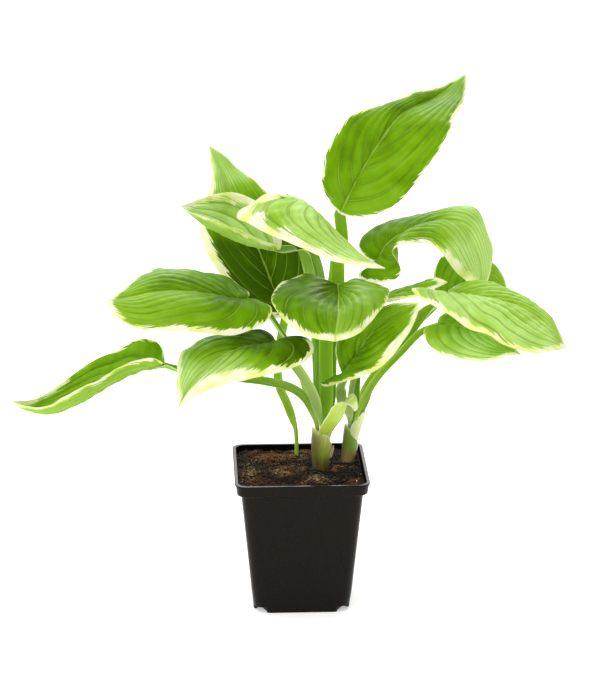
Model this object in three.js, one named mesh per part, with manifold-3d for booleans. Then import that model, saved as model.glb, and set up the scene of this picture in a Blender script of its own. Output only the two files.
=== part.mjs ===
import * as THREE from 'three';
import { mergeVertices } from 'three/addons/utils/BufferGeometryUtils.js';
import Module from 'manifold-3d';

// A hosta with cream-edged leaves in a nine-centimetre square nursery pot.
// Millimetres, +Z up. The origin is the centre of the pot's underside, and the front faces -Y.

// Pot
const potHeight = 95;
const rimHalf = 45;
const rimBandHeight = 9;
const bandHalf = 43.6;
const lipHeight = 1;
const bodyTopHalf = 40.8;
const bodyBottomHalf = 32.5;
const potWall = 1.2;
const potCornerRadius = 7;
const cornerSteps = 6;
const footRaise = 4;
const footCutDistance = 39.2;
const footBlock = 30;
const bandTaper = 0.6;
const drainRadius = 2.6;
const drainPlace = 26.5;
const drainSides = 12;

// Potting mix and the crown that it hides
const mixNeckHeight = 87.5;
const mixEdgeHeight = 90.8;
const mixHeap = [[30, 92], [15, 92.4], [0, 92.4]];
const crownCentre = new THREE.Vector3(13, 15, 66);
const crownRadii = new THREE.Vector3(22, 22, 9);

// Gap that touching pieces keep
const gap = 0.3;

// Shoots: where their axes leave the mix and the sheaths, and how thick their stalks are there.
// Below the neck a shoot tapers to a share of its size at the root.
const rootHeight = 66;
const rootShare = 0.65;
const columnFoot = 60;
const columnHead = 100;
const shoots = {
  main: { foot: [14, 3, 86], neck: [15, 1, 118], stalkRadius: 1.35, ring: 3.4, column: 6.85 },
  right: { foot: [33.2, 22, 86], neck: [37, 20.5, 113], stalkRadius: 1.15, ring: 2.95, column: 6.15 },
  lone: { foot: [-1, 30, 86], neck: [-1.4, 28, 108], stalkRadius: 1.5, ring: 0, column: 2.1 },
};

// Leaves. A stalk's stations run from the shoot to the blade, and a midrib's from the blade's base to its
// tip. The left and right margins run between the same two points, seen from above with the tip away from
// the eye. Bulge lifts each half between midrib and margin, and lead is the power of a share of the midrib
// that gives the share of the margin across from it: under 1 it turns the veins back into the base's lobes.
// A stalk's size is half its width and half its thickness below the blade.
const leafThickness = 0.8;
const leaves = {
  top: {
    shoot: 'main', slot: 30, stalkSize: [4.0, 1.9], channel: 0,
    stalk: [[20, 6, 133], [21, 11, 148], [22, 18, 177], [24, 21, 205], [27, 21, 231], [29, 17, 247]],
    midrib: [[27, 13, 266], [41, 20, 292], [55, 26, 313], [70, 38, 328], [95, 64, 334], [118, 86, 346]],
    left: [[21, 12, 274], [16, 11, 284], [15, 12, 295], [19, 15, 309], [26, 19, 321], [36, 26, 331],
      [53, 40, 333], [70, 52, 337], [90, 68, 340], [107, 80, 342]],
    right: [[34, 10, 265], [48, 8, 266], [64, 10, 273], [74, 12, 283], [83, 15, 294], [92, 18, 306],
      [100, 25, 318], [108, 42, 328], [115, 64, 335]],
    bulge: [[2, 3, 1], [2, 3, 1]],
  },
  arch_right: {
    shoot: 'right', slot: 'centre', stalkSize: [3.0, 1.7], channel: 0,
    stalk: [[39, 21, 131], [39, 22, 144], [41, 23, 168], [47, 22, 197]],
    midrib: [[52, 18, 231], [59, 20, 243], [71, 22, 251], [87, 24, 257], [102, 24, 258], [113, 21, 252],
      [119, 18, 239], [122, 16, 222], [122, 14, 206]],
    left: [[46, 24, 233], [41, 30, 238], [43, 36, 244], [49, 41, 248], [62, 45, 252], [77, 46, 255],
      [93, 44, 259], [107, 41, 263], [117, 38, 265], [124, 35, 260], [128, 32, 249], [131, 29, 238],
      [131, 25, 230], [129, 20, 222]],
    right: [[46, 13, 229], [39, 9, 225], [44, 6, 221], [55, 4, 221], [63, 1, 224], [67, 0, 230],
      [64, -1, 238], [61, -1, 243], [65, 0, 247], [74, 2, 248], [85, 2, 248], [93, 2, 243], [99, 3, 235],
      [105, 4, 227], [113, 9, 219]],
    bulge: [[3, 3, 2], [2, 3, 3]], lead: [0.9, 0.6],
  },
  right_large: {
    shoot: 'right', slot: -30, stalkSize: [4.0, 1.8], channel: -20,
    stalk: [[44, 17, 132], [47, 13, 145], [57, 8, 162], [70, 2, 183], [82, -7, 202]],
    midrib: [[96, -12, 214], [110, -18, 218], [127, -26, 217], [146, -34, 212], [162, -42, 201],
      [173, -48, 189]],
    left: [[99, -6, 218], [107, 2, 219], [118, 5, 221], [128, 2, 221], [139, -3, 216], [149, -10, 212],
      [158, -18, 208], [165, -27, 203], [169, -38, 196]],
    right: [[87, -15, 219], [77, -20, 223], [72, -26, 224], [80, -34, 219], [89, -42, 215],
      [99, -48, 210], [108, -54, 205], [119, -60, 203], [128, -66, 198], [140, -68, 194], [154, -66, 192],
      [165, -58, 191]],
    bulge: [[3, 4, 2], [3, 5, 2]], lead: [0.9, 0.7],
  },
  left_large: {
    shoot: 'main', slot: 150, stalkSize: [3.0, 1.9], channel: 90,
    stalk: [[7, 10, 133], [2, 10, 152], [-4, 8, 172], [-14, 2, 191], [-26, -10, 210]],
    midrib: [[-37, -22, 216], [-52, -28, 222], [-73, -38, 228], [-93, -48, 231], [-109, -56, 230],
      [-127, -62, 229]],
    left: [[-26, -22, 216], [-20, -30, 213], [-23, -38, 208], [-32, -46, 205], [-45, -54, 203],
      [-60, -62, 206], [-74, -68, 210], [-88, -74, 212], [-102, -76, 213], [-114, -76, 218],
      [-123, -70, 224]],
    right: [[-34, -12, 219], [-39, -5, 222], [-48, 0, 227], [-63, -2, 231], [-81, -8, 236],
      [-95, -20, 238], [-106, -32, 237], [-117, -46, 233]],
    bulge: [[4, 5, 2], [3, 4, 2]], lead: [0.8, 0.9],
  },
  left_low: {
    shoot: 'main', slot: 270, stalkSize: [3.4, 1.9], channel: 20,
    stalk: [[12, -5, 134], [8, -10, 148], [1, -17, 163], [-8, -23, 177]],
    midrib: [[-17, -30, 189], [-33, -40, 192], [-48, -52, 191], [-62, -62, 184], [-74, -70, 173],
      [-82, -76, 160]],
    left: [[-8, -24, 190], [1, -28, 194], [6, -33, 192], [7, -38, 186], [1, -44, 181], [-10, -50, 178],
      [-25, -57, 176], [-39, -63, 175], [-54, -70, 174], [-66, -76, 171], [-76, -79, 166]],
    right: [[-19, -22, 192], [-26, -16, 195], [-37, -15, 195], [-48, -20, 194], [-62, -28, 194],
      [-72, -38, 193], [-79, -48, 190], [-82, -58, 184], [-83, -68, 175], [-83, -73, 168]],
    bulge: [[4, 5, 2], [4, 4, 2]], lead: [0.7, 0.8],
  },
  far_left: {
    shoot: 'main', slot: 210, stalkSize: [3.1, 1.7], channel: 0,
    stalk: [[8, -1, 134], [3, -4, 144], [-7, -9, 153], [-25, -19, 161], [-52, -33, 169],
      [-75, -46, 176]],
    midrib: [[-90, -52, 183], [-107, -56, 181], [-127, -62, 173], [-148, -68, 162], [-165, -74, 158],
      [-178, -78, 162], [-189, -82, 169]],
    left: [[-93, -57, 187], [-101, -62, 191], [-115, -68, 189], [-128, -74, 183], [-141, -79, 178],
      [-153, -84, 173], [-163, -87, 169], [-174, -88, 167]],
    right: [[-91, -42, 189], [-95, -38, 194], [-102, -36, 196], [-111, -37, 195], [-121, -42, 190],
      [-135, -48, 186], [-148, -54, 179], [-158, -59, 173], [-166, -64, 169], [-175, -72, 167]],
    bulge: [[-2, -2, -1], [-2, -3, -1]], lead: [1, 0.9],
  },
  front: {
    shoot: 'main', slot: 330, stalkSize: [4.6, 1.6], channel: 0,
    stalk: [[18, 1, 135], [18, 4, 150], [18, 9, 179], [22, 13, 207], [25, 12, 231], [25, 7, 242],
      [25, 1, 234]],
    midrib: [[25, -1, 222], [25, -12, 217], [24, -27, 214], [23, -42, 212], [21, -54, 206],
      [20, -59, 199]],
    left: [[32, 3, 220], [38, 6, 224], [47, 3, 223], [55, -3, 221], [58, -13, 220], [56, -25, 216],
      [51, -35, 213], [44, -43, 207], [37, -50, 203], [28, -55, 200]],
    right: [[17, 3, 222], [10, 9, 225], [4, 9, 227], [-6, 2, 225], [-15, -10, 222], [-20, -22, 218],
      [-17, -32, 213], [-12, -40, 208], [-5, -47, 204], [3, -53, 201], [11, -57, 200]],
    bulge: [[3, 4, 2], [3, 4, 2]], lead: [0.75, 0.75],
  },
  mid_right: {
    shoot: 'right', slot: 210, stalkSize: [3.6, 1.5], channel: 0,
    stalk: [[34, 12, 127], [29, 7, 137], [28, 2, 147]],
    midrib: [[30, -7, 157], [36, -9, 173], [49, -11, 192], [64, -13, 205], [78, -15, 212]],
    left: [[27, -6, 163], [25, -4, 170], [24, -2, 179], [28, 0, 189], [36, -2, 198], [46, -6, 204],
      [57, -9, 209], [67, -12, 212]],
    right: [[25, -11, 159], [19, -15, 159], [13, -19, 159], [16, -21, 157], [24, -22, 159],
      [33, -24, 162], [43, -26, 166], [52, -26, 171], [60, -26, 179], [66, -25, 187], [72, -22, 195],
      [77, -18, 205]],
    bulge: [[2, 2, 1], [2, 3, 1]], lead: [0.9, 0.65],
  },
  upper_centre: {
    shoot: 'main', slot: 90, stalkSize: [3.6, 1.6], channel: 180,
    stalk: [[15, 12, 131], [14, 17, 146], [13, 24, 175], [15, 25, 204], [14, 24, 222], [8, 22, 241],
      [-1, 14, 258]],
    midrib: [[-12, -14, 286], [0, -24, 285], [9, -32, 279], [19, -41, 270], [28, -49, 262],
      [36, -57, 256], [52, -68, 250]],
    left: [[-6, -4, 282], [2, -4, 277], [11, -9, 270], [21, -20, 263], [31, -38, 257], [40, -55, 253]],
    right: [[-19, -8, 286], [-25, -6, 284], [-33, -8, 279], [-41, -14, 276], [-42, -24, 273],
      [-35, -34, 272], [-25, -44, 269], [-14, -52, 266], [-1, -60, 262], [11, -67, 258], [23, -73, 256],
      [36, -75, 253]],
    bulge: [[1, 1, 1], [3, 5, 2]], lead: [1, 0.75],
  },
  upper_left: {
    shoot: 'main', slot: 'centre', stalkSize: [3.6, 1.6], channel: 180,
    stalk: [[13, 8, 132], [13, 11, 148], [12, 16, 177], [11, 18, 206], [7, 15, 225], [1, 7, 243]],
    midrib: [[-13, -2, 246], [-25, -8, 250], [-42, -16, 257], [-55, -24, 265], [-67, -32, 274],
      [-79, -40, 286]],
    left: [[-15, -7, 250], [-26, -17, 257], [-36, -26, 264], [-45, -34, 270], [-55, -41, 276],
      [-64, -46, 280], [-73, -48, 284]],
    right: [[-12, 4, 251], [-15, 11, 260], [-21, 15, 268], [-29, 16, 275], [-37, 14, 280], [-47, 8, 283],
      [-59, -4, 284], [-69, -18, 284]],
    bulge: [[-1, -2, -1], [-2, -3, -1]], lead: [1, 0.8],
  },
  back_left: {
    shoot: 'lone', slot: 'centre', stalkSize: [3, 1.4], channel: 0,
    stalk: [[-4, 27, 119], [-8, 26, 131], [-13, 25, 144], [-14, 25, 164]],
    midrib: [[-9, 26, 191], [-17, 32, 212], [-29, 40, 242], [-43, 50, 270], [-59, 62, 303]],
    left: [[-19, 20, 193], [-33, 14, 200], [-45, 12, 214], [-54, 14, 227], [-62, 20, 241], [-66, 28, 254],
      [-62, 40, 268], [-57, 51, 283], [-58, 58, 294]],
    right: [[0, 22, 199], [7, 24, 210], [10, 28, 222], [8, 32, 237], [1, 38, 251], [-9, 46, 263],
      [-21, 54, 273], [-31, 60, 281], [-43, 64, 290], [-52, 64, 298]],
    bulge: [[3, 4, 2], [3, 4, 2]],
  },
  back_right: {
    shoot: 'right', slot: 30, stalkSize: [2.1, 1.4],
    stalk: [[45, 23, 132], [48, 25, 144], [60, 27, 163], [80, 28, 183]],
    midrib: [[94, 28, 198], [106, 33, 208], [122, 37, 212], [136, 39, 207], [146, 39, 196]],
    left: [[92, 30, 212], [93, 35, 221], [99, 42, 229], [110, 47, 232], [123, 50, 229], [134, 50, 223],
      [141, 46, 214]],
    right: [[100, 20, 202], [110, 18, 199], [124, 22, 197], [137, 30, 198]],
    bulge: [[2, 3, 1], [2, 3, 1]], lead: [0.8, 0.8],
  },
  right_low: {
    shoot: 'right', slot: -90, stalkSize: [2.4, 1.5], channel: -20,
    stalk: [[42, 8, 135], [52, 0, 156], [67, -6, 175], [79, -9, 189]],
    midrib: [[90, -17, 197], [103, -22, 198], [121, -30, 193], [144, -38, 182]],
    left: [[93, -11, 202], [103, -6, 204], [116, -8, 202], [127, -16, 197], [136, -27, 190]],
    right: [[84, -16, 196], [81, -21, 193], [83, -27, 188], [89, -32, 183], [99, -37, 180],
      [111, -40, 179], [124, -42, 180], [134, -41, 182]],
    bulge: [[2, 3, 2], [2, 3, 2]],
  },
  small_right: {
    shoot: 'right', slot: 150, stalkSize: [2.0, 1.3], channel: 0,
    stalk: [[35, 19, 132], [36, 17, 145], [39, 14, 161], [43, 8, 191]],
    midrib: [[52, 1, 211], [66, -2, 215], [82, -5, 219], [98, -8, 224]],
    left: [[58, 7, 213], [67, 9, 215], [78, 7, 219], [88, 1, 225]],
    right: [[58, -5, 210], [67, -9, 213], [78, -11, 215], [88, -11, 220]],
    bulge: [[1, 1, 1], [1, 1, 1]],
  },
};
const defaultLead = [0.9, 0.9];
const bladeStart = 0.006;
const bladeEnd = 0.985;
const stalkEnd = 0.998;
const growthStations = 1.6;

// Sheaths wrapped round the shoots. Each profile is [distance from the axis, height] from the crown up,
// wrap is half the angle that the sheet covers, in degrees, at even steps along it, and turn is how far
// its middle moves round the shoot on the way up.
const sheathThickness = 0.4;
const sheaths = {
  main_outer_sheath: {
    shoot: 'main', azimuth: -66, profile: [[6.2, 74], [6.3, 98], [6.6, 110], [6.9, 122]],
    wrap: [172, 172, 125, 55],
  },
  main_inner_sheath: {
    shoot: 'main', azimuth: 24, turn: 48,
    profile: [[5.3, 74], [5.4, 98], [5.6, 112], [6, 122], [8.6, 128], [12, 133], [14.5, 140], [18, 144.5],
      [22, 143], [23.5, 136]],
    wrap: [110, 108, 62, 52, 36, 22, 10],
  },
  right_outer_sheath: {
    shoot: 'right', azimuth: -70, profile: [[5.5, 74], [5.55, 94], [5.75, 104], [5.9, 112]],
    wrap: [172, 172, 130, 40],
  },
  right_inner_sheath: {
    shoot: 'right', azimuth: 30, profile: [[4.65, 74], [4.7, 98], [4.9, 108], [6.2, 118]],
    wrap: [172, 165, 110, 45],
  },
};

// The dried scale on the main shoot
const scaleSize = [5, 0.6, 9];
const scalePlace = [22, -1.2, 104];
const scaleLean = [12, 18, 55];
const scaleNarrowing = 0.5;
const scaleBend = [0.06, 0.03];
const scaleSteps = 4;

// Mesh fineness
const bladeAcross = 8;
const bladeAlong = 16;
const stalkSides = 7;
const stalkSteps = 16;
const sheathAcross = 14;
const sheathAlong = 10;
const columnSides = 20;
const crownFineness = [16, 10];
const normalStep = 1e-3;
const mergeDistance = 1e-4;

const wasm = await Module();
wasm.setup();
const radians = THREE.MathUtils.degToRad;
const vector = ([x, y, z]) => new THREE.Vector3(x, y, z);

// Turns a closed geometry into a solid, with its shared corners joined and its faces outward
function solidOf(geometry) {
  geometry.deleteAttribute('normal');
  geometry.deleteAttribute('uv');
  const merged = mergeVertices(geometry, mergeDistance);
  const corners = merged.attributes.position.array;
  const kept = [];
  let volume = 0;
  for (let i = 0; i < merged.index.count; i += 3) {
    const [a, b, c] = [0, 1, 2].map((k) => merged.index.getX(i + k));
    if (a !== b && b !== c && c !== a) {
      kept.push([a, b, c]);
      const [p, q, r] = [a, b, c].map((k) => new THREE.Vector3().fromArray(corners, 3 * k));
      volume += p.dot(q.cross(r));
    }
  }
  const faces = volume > 0 ? kept : kept.map(([a, b, c]) => [a, c, b]);
  return new wasm.Manifold(new wasm.Mesh({
    numProp: 3, vertProperties: new Float32Array(corners), triVerts: new Uint32Array(faces.flat()),
  }));
}

function geometryOf(solid) {
  const mesh = solid.getMesh();
  const geometry = new THREE.BufferGeometry();
  geometry.setAttribute('position', new THREE.BufferAttribute(mesh.vertProperties, 3));
  geometry.setIndex(new THREE.BufferAttribute(mesh.triVerts, 1));
  geometry.computeVertexNormals();
  return geometry;
}

// Moves every corner of a geometry to the place that a function gives it
function reshape(geometry, place) {
  const position = geometry.attributes.position;
  for (let i = 0; i < position.count; i++) {
    const moved = place(new THREE.Vector3().fromBufferAttribute(position, i), i);
    position.setXYZ(i, moved.x, moved.y, moved.z);
  }
  return geometry;
}

// A value that passes smoothly through evenly spaced ones
function blend(values, share) {
  const place = THREE.MathUtils.clamp(share, 0, 1) * (values.length - 1);
  const first = Math.min(Math.floor(place), values.length - 2);
  const step = THREE.MathUtils.smoothstep(place - first, 0, 1);
  return values[first] * (1 - step) + values[first + 1] * step;
}

// A lathe turned about Z whose every ring is a square with rounded corners
function squareLathe(profile) {
  const segments = 4 * cornerSteps;
  const points = profile.map(([half, height]) => new THREE.Vector2(half, height));
  return reshape(new THREE.LatheGeometry(points, segments), (_, i) => {
    const turn = Math.floor(i / points.length) % segments;
    const { x: half, y: height } = points[i % points.length];
    const corner = Math.floor(turn / cornerSteps);
    const angle = (corner + (turn % cornerSteps) / (cornerSteps - 1)) * Math.PI / 2;
    const radius = Math.min(potCornerRadius, half);
    const signX = corner === 0 || corner === 3 ? 1 : -1;
    const signY = corner < 2 ? 1 : -1;
    return new THREE.Vector3(
      signX * (half - radius) + radius * Math.cos(angle),
      signY * (half - radius) + radius * Math.sin(angle),
      height,
    );
  });
}

// The four raised corners under the pot, grown by a margin
function cornerBlocks(margin) {
  const blocks = [0, 1, 2, 3].map((quarter) => {
    const angle = (quarter + 0.5) * Math.PI / 2;
    const reach = footCutDistance - margin + footBlock / 2;
    const height = footRaise + margin;
    const box = new THREE.BoxGeometry(footBlock, footBlock, 2 * height);
    box.rotateZ(angle);
    box.translate(reach * Math.cos(angle), reach * Math.sin(angle), 0);
    return solidOf(box);
  });
  return wasm.Manifold.union(blocks);
}

// Four upright rods where the pot drains, long enough to go through its floor
function drainHoles() {
  const depth = 2 * (footRaise + 2 * potWall);
  const holes = [[1, 1], [-1, 1], [-1, -1], [1, -1]].map(([signX, signY]) => {
    const hole = new THREE.CylinderGeometry(drainRadius, drainRadius, depth, drainSides);
    hole.rotateX(Math.PI / 2);
    hole.translate(signX * drainPlace, signY * drainPlace, 0);
    return solidOf(hole);
  });
  return wasm.Manifold.union(holes);
}

// Half the body's outside width at a height
function bodyHalf(height) {
  const share = height / (potHeight - rimBandHeight);
  return bodyBottomHalf + (bodyTopHalf - bodyBottomHalf) * share;
}

function pot() {
  const bandFoot = potHeight - rimBandHeight;
  const outside = solidOf(squareLathe([
    [0, 0], [bodyBottomHalf, 0], [bodyTopHalf, bandFoot], [bandHalf, bandFoot + potWall],
    [rimHalf - bandTaper, potHeight - lipHeight], [rimHalf, potHeight - lipHeight],
    [rimHalf, potHeight], [0, potHeight],
  ]));
  const inside = solidOf(squareLathe([
    [0, potWall], [bodyHalf(potWall) - potWall, potWall], [bodyTopHalf - potWall, bandFoot + potWall],
    [bandHalf - potWall, bandFoot + 2 * potWall], [rimHalf - 2 * potWall, potHeight + potWall],
    [0, potHeight + potWall],
  ]));
  return outside.subtract(cornerBlocks(0)).subtract(inside.subtract(cornerBlocks(potWall)))
    .subtract(drainHoles());
}

function crown(margin) {
  const ball = new THREE.SphereGeometry(1, ...crownFineness);
  ball.rotateX(Math.PI / 2);
  ball.scale(crownRadii.x + margin, crownRadii.y + margin, crownRadii.z + margin);
  ball.translate(crownCentre.x, crownCentre.y, crownCentre.z);
  return solidOf(ball);
}

// A point on a shoot's axis at a height
function axisPoint(shoot, height) {
  const foot = vector(shoot.foot);
  const neck = vector(shoot.neck);
  return foot.lerp(neck, (height - shoot.foot[2]) / (shoot.neck[2] - shoot.foot[2]));
}

// How thick a shoot is at a height, as a share of its thickness at the neck
function taper(shoot, height) {
  return THREE.MathUtils.mapLinear(
    THREE.MathUtils.clamp(height, rootHeight, shoot.neck[2]), rootHeight, shoot.neck[2], rootShare, 1,
  );
}

// A stalk's place in its shoot's bundle at a height
function slotPoint(leaf, height) {
  const shoot = shoots[leaf.shoot];
  const point = axisPoint(shoot, height);
  if (leaf.slot !== 'centre') {
    const ring = shoot.ring * taper(shoot, height);
    point.x += ring * Math.cos(radians(leaf.slot));
    point.y += ring * Math.sin(radians(leaf.slot));
  }
  return point;
}

// A smooth curve through places
function curveThrough(points) {
  return new THREE.CatmullRomCurve3(points, false, 'catmullrom', 0.5);
}

// The line of a stalk from its shoot's root to the blade's base, with the station at the shoot's neck
function stalkLine(leaf) {
  const shoot = shoots[leaf.shoot];
  const inside = [rootHeight, (rootHeight + shoot.neck[2]) / 2, shoot.neck[2]];
  const points = [
    ...inside.map((height) => slotPoint(leaf, height)), ...leaf.stalk.map(vector), vector(leaf.midrib[0]),
  ];
  return { curve: curveThrough(points), neck: inside.length - 1, stations: points.length - 1 };
}

// The way that a stalk's channelled side faces: up and towards the shoot, unless its leaf says otherwise
function channelDirection(leaf) {
  if (leaf.channel !== undefined) {
    return new THREE.Vector3(Math.sin(radians(leaf.channel)), -Math.cos(radians(leaf.channel)), 0);
  }
  const outward = vector(leaf.midrib[0]).sub(vector(shoots[leaf.shoot].neck)).setZ(0).normalize();
  return new THREE.Vector3(0, 0, 1).sub(outward);
}

// A stalk, or the room that it needs when margin is more than nothing. It is round inside the shoot and
// flattens above the neck.
function stalk(leaf, margin) {
  const { curve, neck, stations } = stalkLine(leaf);
  const shoot = shoots[leaf.shoot];
  const upper = channelDirection(leaf);
  const rod = new THREE.CylinderGeometry(1, 1, 1, stalkSides, stalkSteps);
  const end = margin > 0 ? 1 : stalkEnd;
  const solid = solidOf(reshape(rod, (corner) => {
    const at = (corner.y + 0.5) * end;
    const grown = THREE.MathUtils.smoothstep(at * stations, neck, neck + growthStations);
    const place = curve.getPoint(at);
    const rooted = shoot.stalkRadius * taper(shoot, place.z);
    const [halfWidth, halfThickness] = leaf.stalkSize.map(
      (size) => THREE.MathUtils.lerp(rooted, size, grown) + margin,
    );
    const tangent = curve.getTangent(at);
    const normal = upper.clone().addScaledVector(tangent, -upper.dot(tangent)).normalize();
    const side = tangent.clone().cross(normal);
    return place.addScaledVector(side, corner.x * halfWidth)
      .addScaledVector(normal, corner.z * halfThickness);
  }));
  return margin > 0 ? solid : solid.subtract(crown(gap));
}

// The lines that a blade is spread between: its midrib and its two margins
function bladeLines(leaf) {
  const midrib = leaf.midrib.map(vector);
  const margins = [leaf.left, leaf.right].map(
    (margin) => curveThrough([midrib[0], ...margin.map(vector), midrib.at(-1)]),
  );
  return { midrib: curveThrough(midrib), margins };
}

// A point of the blade, u from base to tip and v from the left margin (-1) over the midrib to the right
// one (1): on the straight line from midrib to margin, lifted to the upper side by the half's bulge
function bladePoint(leaf, lines, u, v) {
  const side = v < 0 ? 0 : 1;
  const out = Math.abs(v);
  const middle = lines.midrib.getPointAt(u);
  const tangent = lines.midrib.getTangentAt(u);
  const across = lines.margins[side].getPointAt(u ** (leaf.lead ?? defaultLead)[side]).sub(middle);
  const upper = side === 1 ? across.clone().cross(tangent) : tangent.clone().cross(across);
  const lift = blend(leaf.bulge[side], u) * Math.sqrt(Math.sin(Math.PI * u)) * 4 * out * (1 - out);
  return middle.addScaledVector(across, out).addScaledVector(upper.normalize(), lift);
}

function blade(leaf) {
  const lines = bladeLines(leaf);
  const slab = new THREE.BoxGeometry(2, 1, 1, bladeAcross, bladeAlong, 1);
  const solid = solidOf(reshape(slab, (corner) => {
    const share = corner.y + 0.5;
    const bunched = (share + THREE.MathUtils.smoothstep(share, 0, 1)) / 2;
    const u = bladeStart + (bladeEnd - bladeStart) * bunched;
    const v = corner.x;
    const here = bladePoint(leaf, lines, u, v);
    const inward = v > 0 ? -normalStep : normalStep;
    const along = bladePoint(leaf, lines, u + normalStep, v).sub(here);
    const across = bladePoint(leaf, lines, u, v + inward).sub(here).multiplyScalar(Math.sign(inward));
    const normal = across.cross(along).normalize();
    return here.addScaledVector(normal, corner.z * leafThickness);
  }));
  return solid.subtract(stalk(leaf, gap));
}

// A sheet wrapped round a shoot, as far from the axis and as high as its profile says
function sheath({ shoot, azimuth, turn = 0, profile, wrap }) {
  const line = curveThrough(profile.map(([reach, height]) => new THREE.Vector3(reach, 0, height)));
  const sheet = new THREE.BoxGeometry(2, 1, 1, sheathAcross, sheathAlong, 1);
  const solid = solidOf(reshape(sheet, (corner) => {
    const at = corner.y + 0.5;
    const spot = line.getPoint(at);
    const slope = line.getTangent(at);
    const angle = radians(azimuth + turn * at + blend(wrap, at) * corner.x);
    const height = spot.z - corner.z * sheathThickness * slope.x;
    const reach = spot.x * taper(shoots[shoot], height) + corner.z * sheathThickness * slope.z;
    const place = axisPoint(shoots[shoot], height);
    place.x += reach * Math.sin(angle);
    place.y -= reach * Math.cos(angle);
    return place;
  }));
  return solid.subtract(crown(gap));
}

// Straight room round a shoot, through the potting mix
function shootColumn(shoot) {
  const column = new THREE.CylinderGeometry(shoot.column, shoot.column, 1, columnSides, 1);
  return solidOf(reshape(column, (corner) => {
    const height = THREE.MathUtils.lerp(columnFoot, columnHead, corner.y + 0.5);
    const place = axisPoint(shoot, height);
    const size = taper(shoot, height);
    return new THREE.Vector3(place.x + corner.x * size, place.y + corner.z * size, height);
  }));
}

function pottingMix() {
  const floor = potWall + gap;
  const side = potWall + gap;
  const bulk = solidOf(squareLathe([
    [0, floor], [bodyHalf(floor) - side, floor], [bodyTopHalf - side, mixNeckHeight],
    [bandHalf - side, mixNeckHeight + potWall], [bandHalf - side, mixEdgeHeight],
    ...mixHeap,
  ]));
  return Object.values(shoots).reduce(
    (mix, shoot) => mix.subtract(shootColumn(shoot)),
    bulk.subtract(cornerBlocks(potWall + gap)).subtract(crown(gap)),
  );
}

function driedScale() {
  const [width, thickness, height] = scaleSize;
  const flake = new THREE.BoxGeometry(width, thickness, height, scaleSteps, 1, scaleSteps);
  reshape(flake, (corner) => {
    const narrowing = 1 - scaleNarrowing * (corner.z / height + 0.5);
    const bend = scaleBend[0] * corner.x ** 2 + scaleBend[1] * corner.z ** 2;
    return new THREE.Vector3(corner.x * narrowing, corner.y + bend, corner.z);
  });
  flake.rotateX(radians(scaleLean[0]));
  flake.rotateY(radians(scaleLean[1]));
  flake.rotateZ(radians(scaleLean[2]));
  flake.translate(...scalePlace);
  return solidOf(flake);
}

const colours = {
  pot: ['#2c2926', 0.5],
  mix: ['#4a3020', 0.95],
  crown: ['#b9a884', 0.8],
  sheath: ['#9aa84e', 0.55],
  scale: ['#c9ad7c', 0.8],
  stalk: ['#84a83c', 0.45],
  leaf: ['#5f9428', 0.4],
};

const plant = new THREE.Group();

function addPiece(name, solid, look) {
  const [colour, roughness] = colours[look];
  const material = new THREE.MeshStandardMaterial({ color: colour, roughness, metalness: 0 });
  const mesh = new THREE.Mesh(geometryOf(solid), material);
  mesh.name = name;
  plant.add(mesh);
}

addPiece('pot', pot(), 'pot');
addPiece('potting_mix', pottingMix(), 'mix');
addPiece('crown', crown(0), 'crown');
for (const [name, shape] of Object.entries(sheaths)) addPiece(name, sheath(shape), 'sheath');
addPiece('dried_scale', driedScale(), 'scale');
for (const [name, leaf] of Object.entries(leaves)) {
  addPiece(`stalk_${name}`, stalk(leaf, 0), 'stalk');
  addPiece(`leaf_${name}`, blade(leaf), 'leaf');
}

export default plant;
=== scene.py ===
"""A potted hosta with cream-edged leaves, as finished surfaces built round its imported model.

Every shape is worked out in millimetres, as arrays of points, and put_piece turns them into metres.
The origin is the centre of the pot's underside, +Z is up and the front faces -Y.
"""

import bpy
import numpy as np
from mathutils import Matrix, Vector


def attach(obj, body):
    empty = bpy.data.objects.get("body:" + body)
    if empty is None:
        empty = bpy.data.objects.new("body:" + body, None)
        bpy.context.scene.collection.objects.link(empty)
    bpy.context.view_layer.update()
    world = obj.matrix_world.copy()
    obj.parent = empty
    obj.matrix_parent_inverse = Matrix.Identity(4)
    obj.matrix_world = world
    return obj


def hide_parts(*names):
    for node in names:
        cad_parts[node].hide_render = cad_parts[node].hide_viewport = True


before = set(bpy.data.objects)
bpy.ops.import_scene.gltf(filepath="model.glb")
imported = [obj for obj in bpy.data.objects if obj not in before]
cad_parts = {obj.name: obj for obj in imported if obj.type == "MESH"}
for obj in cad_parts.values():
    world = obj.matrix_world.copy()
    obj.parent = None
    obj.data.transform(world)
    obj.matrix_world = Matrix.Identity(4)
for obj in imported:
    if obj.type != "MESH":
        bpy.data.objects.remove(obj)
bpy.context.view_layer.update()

MM = 0.001
TINY = 1e-9

# Smooth noise: how many random values it has, and the whole numbers that pick one for a corner of its
# lattice
NOISE_VALUES = 4099
NOISE_PRIMES = (73856093, 19349663, 83492791)

# The points at which a curve's length is measured
LENGTH_STEPS = 600

# Settings of the materials' nodes
BLEND = {"data_type": "RGBA"}
SOFT = {"interpolation_type": "SMOOTHSTEP"}
TIMES = {"operation": "MULTIPLY"}
TIMES_PLUS = {"operation": "MULTIPLY_ADD"}
PLUS = {"operation": "ADD"}

# Camera, fitted to the pot's rim and foot in a picture 700 pixels on its long side
CAMERA_TARGET = (0, 0, 176)
CAMERA_DISTANCE = 1850
CAMERA_AZIMUTH = -2.6
CAMERA_ELEVATION = 16.8
CAMERA_LENS = 142.1
SENSOR_WIDTH = 36

# Stage, in metres. Each light is its name, its place as seen from the plant, its strength and how many
# degrees wide it is.
FLOOR_HALF = 30
SURROUND_STRENGTH = 0.5
LIGHTS = (
    ("light overhead", (-0.3, 0.2, 1.6), 1.7, 80),
    ("light behind", (0.25, 1.4, 0.95), 1.5, 44),
    ("light left", (-0.9, -1.3, 0.9), 0.9, 50),
)

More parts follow.
